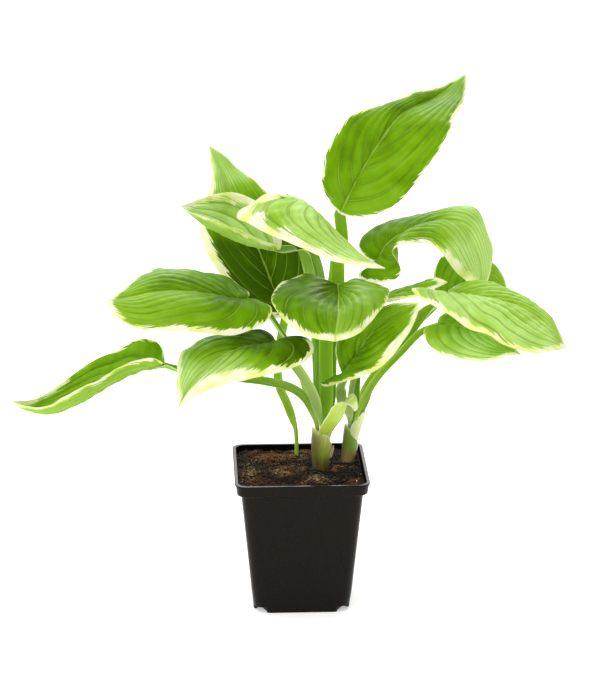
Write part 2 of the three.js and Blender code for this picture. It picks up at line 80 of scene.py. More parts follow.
# Pot. Roundings are those of its profile's corners, from the middle of the underside to that of the floor,
# and stops are places along half a side, as shares of it from the middle: first, last and how many.
POT_HEIGHT = 95
RIM_HALF = 45
RIM_BAND_HEIGHT = 9
BAND_HALF = 43.6
BAND_TAPER = 0.6
LIP_HEIGHT = 1
BODY_TOP_HALF = 40.8
BODY_BOTTOM_HALF = 32.5
POT_WALL = 1.2
POT_CORNER_RADIUS = 7
FOOT_RAISE = 4
FOOT_SLOPE = (38.6, 39.9)
FOOT_FADE = 14
DRAIN_RADIUS = 2.6
DRAIN_PLACE = 26.5
DRAIN_SIDES = 32
POT_ROUNDINGS = (0, 0.9, 0.5, 0.7, 0.2, 0.2, 0.45, 0.5, 0.6, 0.6, 1, 0)
ROUNDING_STEPS = 6
FLAT_FROM = 1.3
POT_LONGEST = 6
POT_CORNER_STEPS = 12
SIDE_STOPS = ((0.1, 0.8, 8), (0.84, 0.97, 12))
MIDDLE_HALF = 0.5

# Potting mix: how high it stands at shares of the way from the pot's middle to its wall, and its crumbs as
# their size, how far they rise and a seed
MIX_HEIGHTS = (91.9, 92.2, 92.0, 91.6, 90.6)
MIX_CRUMBS = ((9, 0.9, 1), (3.6, 0.7, 2), (1.4, 0.4, 3))
MIX_REACH = 41
MIX_NECK_HEIGHT = 87.5
MIX_NECK_DROP = 1
MIX_GAP = 0.3
MIX_FLOOR = POT_WALL + MIX_GAP
MIX_MIDDLE_HALF = 0.4
MIX_TOP_RINGS = 110
MIX_WALL_RINGS = 20
MIX_FLOOR_RINGS = 12
MIX_FLOOR_SHARE = 0.95
MIX_STOPS = (-0.97, 0.97, 62)
MIX_CORNER_STEPS = 6
HOLLOW_DEPTH = 1.6
HOLLOW_REACH = 1.8

# Scraps on the mix. Each has its own shade and shares that of a patch. Lumps are how many there are or where
# they lie, their smallest and largest length, width and height, the degrees that they tilt by, the share of
# their height that is sunk, whether they are smooth, and their material with its dark and light colour and
# its roughness.
SCRAPS_SEED = 5
SCRAPS_TOP = 93.6
SCRAPS_CORNER = 5
SCRAPS_CLEARANCE = 0.8
OWN_SHADE = 0.55
PATCH_SHADE = 0.9
PATCH_SIZE = 12
PATCH_SEED = 7
LUMP_RINGS = (-58, -20, 20, 58)
LUMP_SIDES = 7
LUMP_PUSH = (0.72, 1.15)
LUMPS = {
    "bark_chips": dict(
        count=620, low=(0.9, 0.6, 0.4), high=(3.8, 2.2, 1.3), tilt=26, sunk=0.3, smooth=False,
        made_of=("Composted bark chip", "#100905", "#5c3418", 0.8),
    ),
    "peat_crumbs": dict(
        count=1300, low=(0.6, 0.6, 0.5), high=(1.9, 1.6, 1.3), tilt=40, sunk=0.3, smooth=False,
        made_of=("Peat crumb", "#0c0704", "#42260e", 0.9),
    ),
    "perlite": dict(
        count=24, low=(0.6, 0.6, 0.5), high=(1.4, 1.3, 1.2), tilt=40, sunk=0.1, smooth=True,
        made_of=("Expanded perlite", "#a39c88", "#ece8da", 0.7),
    ),
    "bark_lumps": dict(
        places=((23, -5), (27, 13), (-27, -29)), low=(3, 2.4, 1.8), high=(5, 3.6, 2.8), tilt=15, sunk=0.3,
        smooth=False,
        made_of=("Red-brown bark lump", "#47200f", "#874a2c", 0.8),
    ),
}

# Fibres, in patches of their own colour: the middle of the patch, how far it spreads, how many fibres, their
# lengths, and their dark and light colour
FIBRE_POINTS = 7
FIBRE_RADIUS = (0.07, 0.2)
FIBRE_ROUGHNESS = 0.85
FIBRE_BEND = 0.5
FIBRE_KINK = 0.06
FIBRE_ARCH = (-0.2, 0.14)
FIBRE_RISE = (-0.1, 0.6)
FIBRE_TAPER = 1.8
FIBRE_PATCHES = (
    ("mixed", (0, 0), 30, 1100, (2, 7), "#150c06", "#b58a54"),
    ("orange_back", (-22, 26), 8, 200, (2, 6), "#6a3411", "#c07a38"),
    ("green_left", (-31, 6), 5, 60, (2, 5), "#3a4412", "#7f8a38"),
    ("tan_left", (-20, 4), 12, 160, (2, 8), "#7a5c34", "#dcc08c"),
    ("orange_front", (-24, -26), 6, 130, (2, 6), "#5a2d10", "#a8662f"),
    ("red_front", (0, -28), 7, 90, (2, 6), "#451d0c", "#8a4422"),
    ("pale_front", (13, -23), 6, 90, (2, 6), "#7a6e3e", "#d8cf9c"),
)

# Shoots: where their axes leave the mix and the sheaths, how thick their stalks are at the neck and how far
# they stand from the axis there, and how thick the shoot is at the mix. Below the neck a shoot tapers to a
# share of its size at the root.
ROOT_HEIGHT = 66
ROOT_SHARE = 0.65
SHOOTS = {
    "main": dict(foot=(14, 3, 86), neck=(15, 1, 118), stalk_radius=1.35, ring=3.4, column=6.85),
    "right": dict(foot=(33.2, 22, 86), neck=(37, 20.5, 113), stalk_radius=1.15, ring=2.95, column=6.15),
    "lone": dict(foot=(-1, 30, 86), neck=(-1.4, 28, 108), stalk_radius=1.5, ring=0, column=2.1),
}

# Leaves. Slot is where a stalk stands in its shoot's bundle, in degrees from +X round to +Y, or in the
# bundle's centre. Stalk_size is half its width and thickness, and channel is the way that its hollow side
# faces, in degrees from the front to the right; without one, it faces up and back to the shoot. A stalk's
# stations run from the shoot to the blade, and a midrib's from the blade's base to its tip. The left and
# right margins run between the same two points, seen from above with the tip away from the eye. Bulge lifts
# each half between midrib and margin, and lead is the power of a share of the midrib that gives the share of
# the margin across from it. Cream is how wide the cream margin is from base to tip, left and right, and
# ragged is how far it wanders. Light is painted light and shade: how light the green is from base to tip,
# left and right, as a place among the greens, low where a blade lies in shade and highest where it shows a
# painted glare. Veins are those of one half, quilt is how far they swell, and fan is how far they fan out
# from the base instead of leaving the midrib one by one. Ruffle is how far the margin waves.
LEAVES = {
    "top": dict(
        shoot="main", slot=30, stalk_size=(4, 1.9), channel=0,
        stalk=[(20, 6, 133), (21, 11, 148), (22, 18, 177), (24, 21, 205), (27, 21, 231), (29, 17, 247)],
        midrib=[(27, 13, 266), (41, 20, 292), (55, 26, 313), (70, 38, 328), (95, 64, 334),
            (118, 86, 346)],
        left=[(21, 12, 274), (16, 11, 284), (15, 12, 295), (19, 15, 309), (26, 19, 321), (36, 26, 331),
            (53, 40, 333), (70, 52, 337), (90, 68, 340), (107, 80, 342)],
        right=[(34, 10, 265), (48, 8, 266), (64, 10, 273), (74, 12, 283), (83, 15, 294), (92, 18, 306),
            (100, 25, 318), (108, 42, 328), (115, 64, 335)],
        bulge=((2, 3, 1), (2, 3, 1)),
        cream=((0.5, 0.5, 0.6, 1.2, 2.6, 2.6, 1.2), (1.2, 0.7, 0.6, 0.8, 2.4, 0.8, 0.6)), ragged=1.5,
        light=((1.2, 0.9, 0.7, 0.9, 1.0), (1.3, 1.1, 0.9, 0.9, 1.1)),
        veins=9, ruffle=0.8, seed=11,
    ),
    "arch_right": dict(
        shoot="right", slot="centre", stalk_size=(3, 1.7), channel=0,
        stalk=[(39, 21, 131), (39, 22, 144), (41, 23, 168), (47, 22, 197)],
        midrib=[(52, 18, 231), (59, 20, 243), (71, 22, 251), (87, 24, 257), (102, 24, 258),
            (113, 21, 252), (119, 18, 239), (122, 16, 222), (122, 14, 206)],
        left=[(46, 24, 233), (41, 30, 238), (43, 36, 244), (49, 41, 248), (62, 45, 252), (77, 46, 255),
            (93, 44, 259), (107, 41, 263), (117, 38, 265), (124, 35, 260), (128, 32, 249),
            (131, 29, 238), (131, 25, 230), (129, 20, 222)],
        right=[(46, 13, 229), (39, 9, 225), (44, 6, 221), (55, 4, 221), (63, 1, 224), (67, 0, 230),
            (64, -1, 238), (61, -1, 243), (65, 0, 247), (74, 2, 248), (85, 2, 248), (93, 2, 243),
            (99, 3, 235), (105, 4, 227), (113, 9, 219)],
        bulge=((3, 3, 2), (2, 3, 3)), lead=(0.9, 0.6),
        cream=((0.4, 0.4, 0.5, 0.6, 0.8, 1.0, 1.2), (0.4, 0.4, 0.6, 1.5, 3.6, 5.6, 6.5, 5.0)), ragged=2.0,
        light=((0.8, 0.9, 1.3, 2.9, 3.4, 3.0), (0.7, 0.9, 1.1, 2.8, 3.4, 3.0)),
        veins=9, ruffle=0.8, seed=12,
    ),
    "right_large": dict(
        shoot="right", slot=-30, stalk_size=(4, 1.8), channel=-20, quilt=1.3, fan=0.45,
        stalk=[(44, 17, 132), (47, 13, 145), (57, 8, 162), (70, 2, 183), (82, -7, 202)],
        midrib=[(96, -12, 214), (110, -18, 218), (127, -26, 217), (146, -34, 212), (162, -42, 201),
            (173, -48, 189)],
        left=[(99, -6, 218), (107, 2, 219), (118, 5, 221), (128, 2, 221), (139, -3, 216),
            (149, -10, 212), (158, -18, 208), (165, -27, 203), (169, -38, 196)],
        right=[(87, -15, 219), (77, -20, 223), (72, -26, 224), (80, -34, 219), (89, -42, 215),
            (99, -48, 210), (108, -54, 205), (119, -60, 203), (128, -66, 198), (140, -68, 194),
            (154, -66, 192), (165, -58, 191)],
        bulge=((3, 4, 2), (3, 5, 2)), lead=(0.9, 0.7),
        cream=((0.6, 0.6, 0.8, 1.4, 3.2, 4.0), (2.0, 3.0, 3.4, 3.2, 3.6, 4.5)), ragged=1.7,
        light=((1.5, 1.9, 2.2, 2.3, 2.4), (2.0, 2.6, 2.6, 2.5, 2.4)),
        veins=9, ruffle=1.3, seed=13,
    ),
    "left_large": dict(
        shoot="main", slot=150, stalk_size=(3, 1.9), channel=90, quilt=0.8, fan=0.4,
        stalk=[(7, 10, 133), (2, 10, 152), (-4, 8, 172), (-14, 2, 191), (-26, -10, 210)],
        midrib=[(-37, -22, 216), (-52, -28, 222), (-73, -38, 228), (-93, -48, 231), (-109, -56, 230),
            (-127, -62, 229)],
        left=[(-26, -22, 216), (-20, -30, 213), (-23, -38, 208), (-32, -46, 205), (-45, -54, 203),
            (-60, -62, 206), (-74, -68, 210), (-88, -74, 212), (-102, -76, 213), (-114, -76, 218),
            (-123, -70, 224)],
        right=[(-34, -12, 219), (-39, -5, 222), (-48, 0, 227), (-63, -2, 231), (-81, -8, 236),
            (-95, -20, 238), (-106, -32, 237), (-117, -46, 233)],
        bulge=((4, 5, 2), (3, 4, 2)), lead=(0.8, 0.9),
        cream=((1.0, 2.4, 3.6, 2.6, 2.4, 3.6), (0.7, 0.5, 0.6, 0.8, 2.6, 4.0)), ragged=1.6,
        light=((0.4, 0.7, 1.3, 1.6, 1.6), (0.5, 0.6, 0.8, 1.1, 1.3)),
        veins=9, ruffle=1.0, seed=14,
    ),
    "left_low": dict(
        shoot="main", slot=270, stalk_size=(3.4, 1.9), channel=20, fan=0.25,
        stalk=[(12, -5, 134), (8, -10, 148), (1, -17, 163), (-8, -23, 177)],
        midrib=[(-17, -30, 189), (-33, -40, 192), (-48, -52, 191), (-62, -62, 184), (-74, -70, 173),
            (-82, -76, 160)],
        left=[(-8, -24, 190), (1, -28, 194), (6, -33, 192), (7, -38, 186), (1, -44, 181),
            (-10, -50, 178), (-25, -57, 176), (-39, -63, 175), (-54, -70, 174), (-66, -76, 171),
            (-76, -79, 166)],
        right=[(-19, -22, 192), (-26, -16, 195), (-37, -15, 195), (-48, -20, 194), (-62, -28, 194),
            (-72, -38, 193), (-79, -48, 190), (-82, -58, 184), (-83, -68, 175), (-83, -73, 168)],
        bulge=((4, 5, 2), (4, 4, 2)), lead=(0.7, 0.8),
        cream=((2.2, 2.4, 4.0, 8.0, 7.0, 3.5), (0.5, 0.5, 1.0, 2.0, 2.8, 3.0)), ragged=1.7,
        light=((-0.1, 0.4, 2.5, 3.4, 3.0), (0.0, 0.2, 2.0, 3.2, 2.8)),
        veins=8, ruffle=1.2, seed=15,
    ),
    "far_left": dict(
        shoot="main", slot=210, stalk_size=(3.1, 2.2), channel=0,
        stalk=[(8, -1, 134), (3, -4, 144), (-7, -9, 153), (-25, -19, 161), (-52, -33, 169),
            (-75, -46, 176)],
        midrib=[(-90, -52, 183), (-107, -56, 181), (-127, -62, 173), (-148, -68, 162), (-165, -74, 158),
            (-178, -78, 162), (-189, -82, 169)],
        left=[(-93, -57, 187), (-101, -62, 191), (-115, -68, 189), (-128, -74, 183), (-141, -79, 178),
            (-153, -84, 173), (-163, -87, 169), (-174, -88, 167)],
        right=[(-91, -42, 189), (-95, -38, 194), (-102, -36, 196), (-111, -37, 195), (-121, -42, 190),
            (-135, -48, 186), (-148, -54, 179), (-158, -59, 173), (-166, -64, 169), (-175, -72, 167)],
        bulge=((-2, -2, -1), (-2, -3, -1)), lead=(1, 0.9),
        cream=((0.8, 1.4, 2.2, 2.6, 3.4), (0.4, 0.5, 0.8, 1.5, 3.0)), ragged=1.6,
        light=((1.2, 1.3, 1.5, 1.5), (1.2, 1.4, 1.5, 1.5)),
        veins=7, ruffle=1.0, seed=16,
    ),
    "front": dict(
        shoot="main", slot=330, stalk_size=(4.6, 1.6), channel=0, quilt=0.9, fan=0.85,
        stalk=[(18, 1, 135), (18, 4, 150), (18, 9, 179), (22, 13, 207), (25, 12, 231), (25, 7, 242),
            (25, 1, 234)],
        midrib=[(25, -1, 222), (25, -12, 217), (24, -27, 214), (23, -42, 212), (21, -54, 206),
            (20, -59, 199)],
        left=[(32, 3, 220), (38, 6, 224), (47, 3, 223), (55, -3, 221), (58, -13, 220), (56, -25, 216),
            (51, -35, 213), (44, -43, 207), (37, -50, 203), (28, -55, 200)],
        right=[(17, 3, 222), (10, 9, 225), (4, 9, 227), (-6, 2, 225), (-15, -10, 222), (-20, -22, 218),
            (-17, -32, 213), (-12, -40, 208), (-5, -47, 204), (3, -53, 201), (11, -57, 200)],
        bulge=((3, 4, 2), (3, 4, 2)), lead=(0.75, 0.75),
        cream=((0.9, 1.2, 1.8, 3.0, 5.0), (0.8, 1.2, 1.8, 3.0, 5.0)), ragged=1.5,
        light=((0.7, 1.4, 2.1, 2.0), (0.3, 0.5, 0.8, 1.2)),
        veins=8, ruffle=1.3, seed=17,
    ),
    "mid_right": dict(
        shoot="right", slot=210, stalk_size=(3.6, 1.5), channel=0,
        stalk=[(34, 12, 127), (29, 7, 137), (28, 2, 147)],
        midrib=[(30, -7, 157), (36, -9, 173), (49, -11, 192), (64, -13, 205), (78, -15, 212)],
        left=[(27, -6, 163), (25, -4, 170), (24, -2, 179), (28, 0, 189), (36, -2, 198), (46, -6, 204),
            (57, -9, 209), (67, -12, 212)],
        right=[(25, -11, 159), (19, -15, 159), (13, -19, 159), (16, -21, 157), (24, -22, 159),
            (33, -24, 162), (43, -26, 166), (52, -26, 171), (60, -26, 179), (66, -25, 187),
            (72, -22, 195), (77, -18, 205)],
        bulge=((2, 2, 1), (2, 3, 1)), lead=(0.9, 0.65),
        cream=((0.3, 0.3, 0.4, 0.8, 1.5), (1.4, 2.4, 3.6, 4.0, 3.0, 2.0)), ragged=1.3,
        light=((0.8, 1.1, 1.2, 1.2), (0.8, 1.1, 1.3, 1.2)),
        veins=8, ruffle=0.9, seed=18,
    ),
    "upper_centre": dict(
        shoot="main", slot=90, stalk_size=(3.6, 1.6), channel=180,
        stalk=[(15, 12, 131), (14, 17, 146), (13, 24, 175), (15, 25, 204), (14, 24, 222), (8, 22, 241),
            (-1, 14, 258)],
        midrib=[(-12, -14, 286), (0, -24, 285), (9, -32, 279), (19, -41, 270), (28, -49, 262),
            (36, -57, 256), (52, -68, 250)],
        left=[(-6, -4, 282), (2, -4, 277), (11, -9, 270), (21, -20, 263), (31, -38, 257),
            (40, -55, 253)],
        right=[(-19, -8, 286), (-25, -6, 284), (-33, -8, 279), (-41, -14, 276), (-42, -24, 273),
            (-35, -34, 272), (-25, -44, 269), (-14, -52, 266), (-1, -60, 262), (11, -67, 258),
            (23, -73, 256), (36, -75, 253)],
        bulge=((1, 1, 1), (3, 5, 2)), lead=(1, 0.75),
        cream=((5.0, 2.5, 1.4, 1.8, 2.8, 3.5), (21.0, 14.0, 5.5, 3.4, 3.4, 4.6, 5.0)), ragged=3.4,
        light=((2.3, 2.6, 2.7, 2.6, 2.3), (2.2, 2.4, 2.5, 2.6, 2.3)),
        veins=8, ruffle=1.0, seed=19,
    ),
    "upper_left": dict(
        shoot="main", slot="centre", stalk_size=(3.6, 1.6), channel=180,
        stalk=[(13, 8, 132), (13, 11, 148), (12, 16, 177), (11, 18, 206), (7, 15, 225), (1, 7, 243)],
        midrib=[(-13, -2, 246), (-25, -8, 250), (-42, -16, 257), (-55, -24, 265), (-67, -32, 274),
            (-79, -40, 286)],
        left=[(-15, -7, 250), (-26, -17, 257), (-36, -26, 264), (-45, -34, 270), (-55, -41, 276),
            (-64, -46, 280), (-73, -48, 284)],
        right=[(-12, 4, 251), (-15, 11, 260), (-21, 15, 268), (-29, 16, 275), (-37, 14, 280),
            (-47, 8, 283), (-59, -4, 284), (-69, -18, 284)],
        bulge=((-1, -2, -1), (-2, -3, -1)), lead=(1, 0.8),
        cream=((3.0, 3.5, 2.2, 1.8, 2.2, 2.8), (7.0, 8.0, 5.5, 3.5, 2.5, 2.5)), ragged=3.2,
        light=((1.7, 2.0, 2.1, 1.9), (2.4, 2.7, 2.7, 2.2)),
        veins=7, ruffle=0.8, seed=20,
    ),
    "back_left": dict(
        shoot="lone", slot="centre", stalk_size=(3, 1.4), channel=0,
        stalk=[(-4, 27, 119), (-8, 26, 131), (-13, 25, 144), (-14, 25, 164)],
        midrib=[(-9, 26, 191), (-17, 32, 212), (-29, 40, 242), (-43, 50, 270), (-59, 62, 303)],
        left=[(-19, 20, 193), (-33, 14, 200), (-45, 12, 214), (-54, 14, 227), (-62, 20, 241),
            (-66, 28, 254), (-62, 40, 268), (-57, 51, 283), (-58, 58, 294)],
        right=[(0, 22, 199), (7, 24, 210), (10, 28, 222), (8, 32, 237), (1, 38, 251), (-9, 46, 263),
            (-21, 54, 273), (-31, 60, 281), (-43, 64, 290), (-52, 64, 298)],
        bulge=((3, 4, 2), (3, 4, 2)),
        cream=((1.0, 4.0, 5.5, 3.0, 1.6, 1.0), (0.5, 0.5, 0.6, 0.8, 1.2)), ragged=1.6,
        light=((-0.5, -0.5, -0.2, 0.6, 2.9, 3.0), (-0.4, -0.3, 0.2, 0.8, 2.8, 3.0)),
        veins=9, ruffle=0.8, seed=21,
    ),
    "back_right": dict(
        shoot="right", slot=30, stalk_size=(2.1, 1.4),
        stalk=[(45, 23, 132), (48, 25, 144), (60, 27, 163), (80, 28, 183)],
        midrib=[(94, 28, 198), (106, 33, 208), (122, 37, 212), (136, 39, 207), (146, 39, 196)],
        left=[(92, 30, 212), (93, 35, 221), (99, 42, 229), (110, 47, 232), (123, 50, 229),
            (134, 50, 223), (141, 46, 214)],
        right=[(100, 20, 202), (110, 18, 199), (124, 22, 197), (137, 30, 198)],
        bulge=((2, 3, 1), (2, 3, 1)), lead=(0.8, 0.8),
        cream=((0.6, 0.6, 0.8, 1.2, 2.0), (0.6, 0.6, 0.8, 1.2, 2.0)), ragged=1.1,
        light=((1.5, 1.6, 1.6, 2.2), (1.3, 1.4, 1.5, 1.8)),
        veins=8, ruffle=0.7, seed=22,
    ),
    "right_low": dict(
        shoot="right", slot=-90, stalk_size=(2.4, 1.5), channel=-20,
        stalk=[(42, 8, 135), (52, 0, 156), (67, -6, 175), (79, -9, 189)],
        midrib=[(90, -17, 197), (103, -22, 198), (121, -30, 193), (144, -38, 182)],
        left=[(93, -11, 202), (103, -6, 204), (116, -8, 202), (127, -16, 197), (136, -27, 190)],
        right=[(84, -16, 196), (81, -21, 193), (83, -27, 188), (89, -32, 183), (99, -37, 180),
            (111, -40, 179), (124, -42, 180), (134, -41, 182)],
        bulge=((2, 3, 2), (2, 3, 2)),
        cream=((0.6, 0.6, 0.8, 1.2, 2.0), (0.8, 1.0, 1.2, 1.4, 2.2)), ragged=1.1,
        light=((1.3, 1.9, 2.6, 2.4), (1.4, 2.2, 2.7, 2.4)),
        veins=8, ruffle=0.7, seed=23,
    ),
    "small_right": dict(
        shoot="right", slot=150, stalk_size=(2, 1.3), channel=0,
        stalk=[(35, 19, 132), (36, 17, 145), (39, 14, 161), (43, 8, 191)],
        midrib=[(52, 1, 211), (66, -2, 215), (82, -5, 219), (98, -8, 224)],
        left=[(58, 7, 213), (67, 9, 215), (78, 7, 219), (88, 1, 225)],
        right=[(58, -5, 210), (67, -9, 213), (78, -11, 215), (88, -11, 220)],
        bulge=((1, 1, 1), (1, 1, 1)),
        cream=((3.2, 2.4, 2.2, 2.6, 4.0), (2.6, 2.0, 2.0, 2.6, 4.0)), ragged=1.6,
        light=((1.4, 1.6, 1.8), (1.4, 1.6, 1.8)),
        veins=5, ruffle=0.8, seed=24,
    ),
}
DEFAULT_LEAD = (0.9, 0.9)

# Blades. The margin waves by sines of a length and a height, and the swells are noise of a size and a
# height. A rib fades from a share of the way out to the margin, by a share of its height. The relief is
# whole between two shares of the midrib, and the way that a blade faces is held beyond two more.
# Greens of the blades, from the deepest, which is painted shade, to the palest, which is a painted glare
GREENS_SHADE_TO_GLARE = ("#3c5c02", "#6c9c06", "#8ab42c", "#b4d676")
BLADE_START = 0.004
BLADE_END = 0.993
BLADE_ROWS = 82
COLUMNS_PER_VEIN = 7
BLADE_THICKNESS = 0.45
MARGIN_THICKNESS = 0.22
RIB_RISE = 0.13
RIB_MOST = 0.75
RIB_POWER = 0.8
VEINS_LEAVE = 0.92
VEIN_POWER = 1.5
FAN = 1.2
TONGUE_SLANT = 0.14
PUCKER_LENGTH = 7
PUCKER_SHARE = 0.3
RUFFLE_WAVES = ((31, 0.55), (17, 0.35), (10, 0.2))
MIDRIB_WIDTH = 1.25
MIDRIB_DEPTH = 0.55
MIDRIB_RIDGE = 1.3
RIDGE_POWER = 0.7
RIDGE_STARTS = 0.06
LEAST_SLANT = 0.35
FACING_KEPT = (0.03, 0.98)
MARGIN_FADE = 4
RELIEF_ENDS = (0.08, 0.92)
LEAST_SPREAD = 0.4
RIB_SUNK = 0.4
RIB_FADE = (0.8, 0.5)
SWELLS = ((17, 0.5), (6, 0.15))

# Stalks. One grows from its size in the bundle to its own over so many stations, and goes on under the
# midrib for a share of the blade, where it follows a narrow strip of it and sinks as it ends. Each pair of
# colours is the skin and the paler rims of the channel.
STALK_ROWS = 70
STALK_SIDES = 28
GROWTH_FROM = 2
GROWTH_STATIONS = 1.6
CHANNEL_DEPTH = 0.3
CHANNEL_RIM = 0.45
UNDER_BLADE = 0.1
UNDER_ROWS = 12
UNDER_STRIP = (-0.1, 0, 0.1)
UNDER_PAST = 0.2
RIM_SHOWS = 0.2
STALK_END = (0.7, 0.5)
STALK_DROP = 1.1
STALK_TURNS = 0.78
USUAL_STALK = ("#78a828", "#bcd47c")
STALK_COLOURS = {
    "front": ("#8cc60c", "#b4d85c"),
    "top": ("#84bc0a", "#b4d85c"),
    "left_low": ("#a6c85c", "#cfe09a"),
    "far_left": ("#76a81a", "#c2da74"),
    "mid_right": ("#a3bf58", "#d3dfa4"),
    "small_right": ("#a9c264", "#d6e0a8"),
    "right_large": ("#96c228", "#c2dc70"),
    "right_low": ("#96c228", "#c2dc70"),
    "back_left": ("#a8d43c", "#bce05c"),
}

# Sheaths wrapped round the shoots. Azimuth is the way that a sheath's middle faces at its foot, in degrees
# from the front to the right, and turn is how far that moves round the shoot on the way up. Each profile is
# (distance from the axis, height) from the crown up, and wrap is half the angle that the sheet covers, in
# degrees, at even steps along it. Stained is the side from which brown spreads to the left. The colours are
# those of the foot, the middle and the tip.
SHEATH_THICKNESS = 0.4
SHEATH_ROWS = 60
SHEATH_COLUMNS = 90
SHEATH_RIB = 0.1
SHEATH_RIB_WIDTH = 1.6
SHEATH_DENT = 0.12
SHEATH_DENT_SIZE = 5
SHEATH_DENT_RUN = 40
STAIN_EDGE = 0.5
STAIN_ENDS = 0.85
SHEATHS = {
    "main_outer_sheath": dict(
        shoot="main", azimuth=-66,
        profile=[(5.2, 74), (5.6, 86), (6.5, 94), (7.2, 104), (7.1, 113), (6.8, 122)],
        wrap=(172, 172, 172, 170, 146, 112, 22), stained=-12, seed=31,
        colours=("#75602c", "#93a22c", "#c3c974"),
    ),
    "main_inner_sheath": dict(
        shoot="main", azimuth=34, turn=38,
        profile=[(5.2, 74), (5.4, 98), (5.6, 112), (6.8, 118), (10, 123.5), (13.2, 128.5), (15, 134),
            (16.8, 140.5), (19.4, 144.3), (22.2, 142.5), (23.5, 136)],
        wrap=(110, 108, 68, 56, 46, 30, 12), seed=32, colours=("#8d8a3c", "#b2d040", "#cbe07c"),
    ),
    "right_outer_sheath": dict(
        shoot="right", azimuth=-70, profile=[(5.2, 74), (5.5, 92), (5.8, 103), (5.9, 112), (5.6, 118)],
        wrap=(172, 172, 130, 62, 8), stained=-50, seed=33, colours=("#b8a068", "#7a9a30", "#9fb858"),
    ),
    "right_inner_sheath": dict(
        shoot="right", azimuth=42, profile=[(4.65, 74), (4.7, 98), (4.9, 108), (5.9, 117), (7.6, 127)],
        wrap=(172, 168, 118, 58, 14), seed=34, colours=("#b0a06a", "#d2da98", "#dde4a8"),
    ),
}

# The dried scale on the main shoot: its width, thickness and height, where it is and how it is turned
SCALE_SIZE = (5, 0.6, 9)
SCALE_PLACE = (22, -1.2, 104)
SCALE_LEAN = (12, 18, 55)
SCALE_DISH = 0.09
SCALE_CURL = 1.3
SCALE_RIPPLE = 0.18
SCALE_ROWS = 34
SCALE_COLUMNS = 25


def unit(vectors):
    """Vectors brought to length one."""
    return vectors / np.maximum(np.linalg.norm(vectors, axis=-1, keepdims=True), TINY)


def smoothstep(low, high, value):
    """A ramp from 0 at low to 1 at high that starts and ends flat: 3 t^2 - 2 t^3."""
    t = np.clip((value - low) / (high - low), 0, 1)
    return t * t * (3 - 2 * t)


def passing(values, share):
    """A value that passes smoothly through evenly spaced ones, by a smoothstep between neighbours."""
    values = np.asarray(values, float)
    place = np.clip(share, 0, 1) * (len(values) - 1)
    first = np.minimum(place.astype(int), len(values) - 2)
    step = smoothstep(0, 1, place - first)
    return values[first] * (1 - step) + values[first + 1] * step


def spline(stations, share):
    """A smooth curve through stations: between two of them, the cubic whose slope at each end is half the
    step from the station before to the one after. Both ends lean on a mirrored station."""
    p = np.asarray(stations, float)
    p = np.vstack([2 * p[0] - p[1], p, 2 * p[-1] - p[-2]])
    place = np.clip(share, 0, 1) * (len(p) - 3)
    first = np.minimum(place.astype(int), len(p) - 4)
    t = (place - first)[:, None]
    a, b, c, d = (p[first + k] for k in range(4))
    return 0.5 * (2 * b + (c - a) * t + (2 * a - 5 * b + 4 * c - d) * t**2 + (3 * b - a - 3 * c + d) * t**3)


def along(stations, share):
    """The same curve at shares of its length, and that length."""
    fine = np.linspace(0, 1, LENGTH_STEPS)
    steps = np.linalg.norm(np.diff(spline(stations, fine), axis=0), axis=1)
    run = np.concatenate([[0], np.cumsum(steps)])
    return spline(stations, np.interp(share, run / run[-1], fine)), run[-1]


def noise(points, size, seed):
    """Smooth noise from -1 to 1: a random value at each corner of a lattice of cells of that size, picked
    from a table by the corner's whole numbers, and blended across the cell by smoothsteps."""
    table = np.random.default_rng(seed).uniform(-1, 1, NOISE_VALUES)
    place = points / size
    cell = np.floor(place).astype(np.int64)
    t = smoothstep(0, 1, place - cell)
    primes = np.array(NOISE_PRIMES)[: points.shape[-1]]
    total = 0
    for corner in np.ndindex((2,) * points.shape[-1]):
        weight = np.prod(np.where(corner, t, 1 - t), axis=-1)
        total = total + weight * table[((cell + corner) * primes).sum(axis=-1) % len(table)]
    return total


def turned(points, degrees):
    """Points turned about X, then Y, then Z."""
    x, y, z = np.radians(degrees)
    about_x = np.array([[1, 0, 0], [0, np.cos(x), -np.sin(x)], [0, np.sin(x), np.cos(x)]])
    about_y = np.array([[np.cos(y), 0, np.sin(y)], [0, 1, 0], [-np.sin(y), 0, np.cos(y)]])
    about_z = np.array([[np.cos(z), -np.sin(z), 0], [np.sin(z), np.cos(z), 0], [0, 0, 1]])
    return points @ (about_z @ about_y @ about_x).T


def closed_rings(rings):
    """The closed skin of rings of points that follow each other: four-cornered faces between neighbouring
    rings, and a fan of triangles from the first and the last ring to its middle."""
    rows, columns, _ = rings.shape
    corner = np.arange(rows * columns).reshape(rows, columns)
    after = np.roll(corner, -1, axis=1)
    quads = np.stack([corner[:-1], after[:-1], after[1:], corner[1:]], axis=-1).reshape(-1, 4)
    poles = np.full(columns, rows * columns)
    first = np.stack([after[0], corner[0], poles], axis=-1)
    last = np.stack([corner[-1], after[-1], poles + 1], axis=-1)
    points = np.vstack([rings.reshape(-1, 3), rings[0].mean(axis=0), rings[-1].mean(axis=0)])
    return points, [quads, np.vstack([first, last])]


def with_poles(values):
    """Values on rings, with one more for each pole that closed_rings adds."""
    flat = values.reshape(-1, *values.shape[2:])
    return np.concatenate([flat, values[:1].mean(axis=1), values[-1:].mean(axis=1)])


def both_sides(values):
    """The same values on both sides of a sheet, whose rings go out on one side and back on the other."""
    return with_poles(np.concatenate([values, values[:, ::-1]], axis=1))


def facing_out(points, faces):
    """The faces, turned over if the solid that they close has a volume below nothing."""
    volume = 0
    for group in faces:
        for k in range(1, group.shape[1] - 1):
            a, b, c = (points[group[:, i]] for i in (0, k, k + 1))
            volume += (a * np.cross(b, c)).sum()
    return faces if volume > 0 else [group[:, ::-1] for group in faces]


def copies(faces, count, size):
    """The faces of one small shape, repeated for count copies of it that have size points each."""
    shift = np.arange(count)[:, None, None] * size
    return [(group[None] + shift).reshape(-1, group.shape[1]) for group in faces]


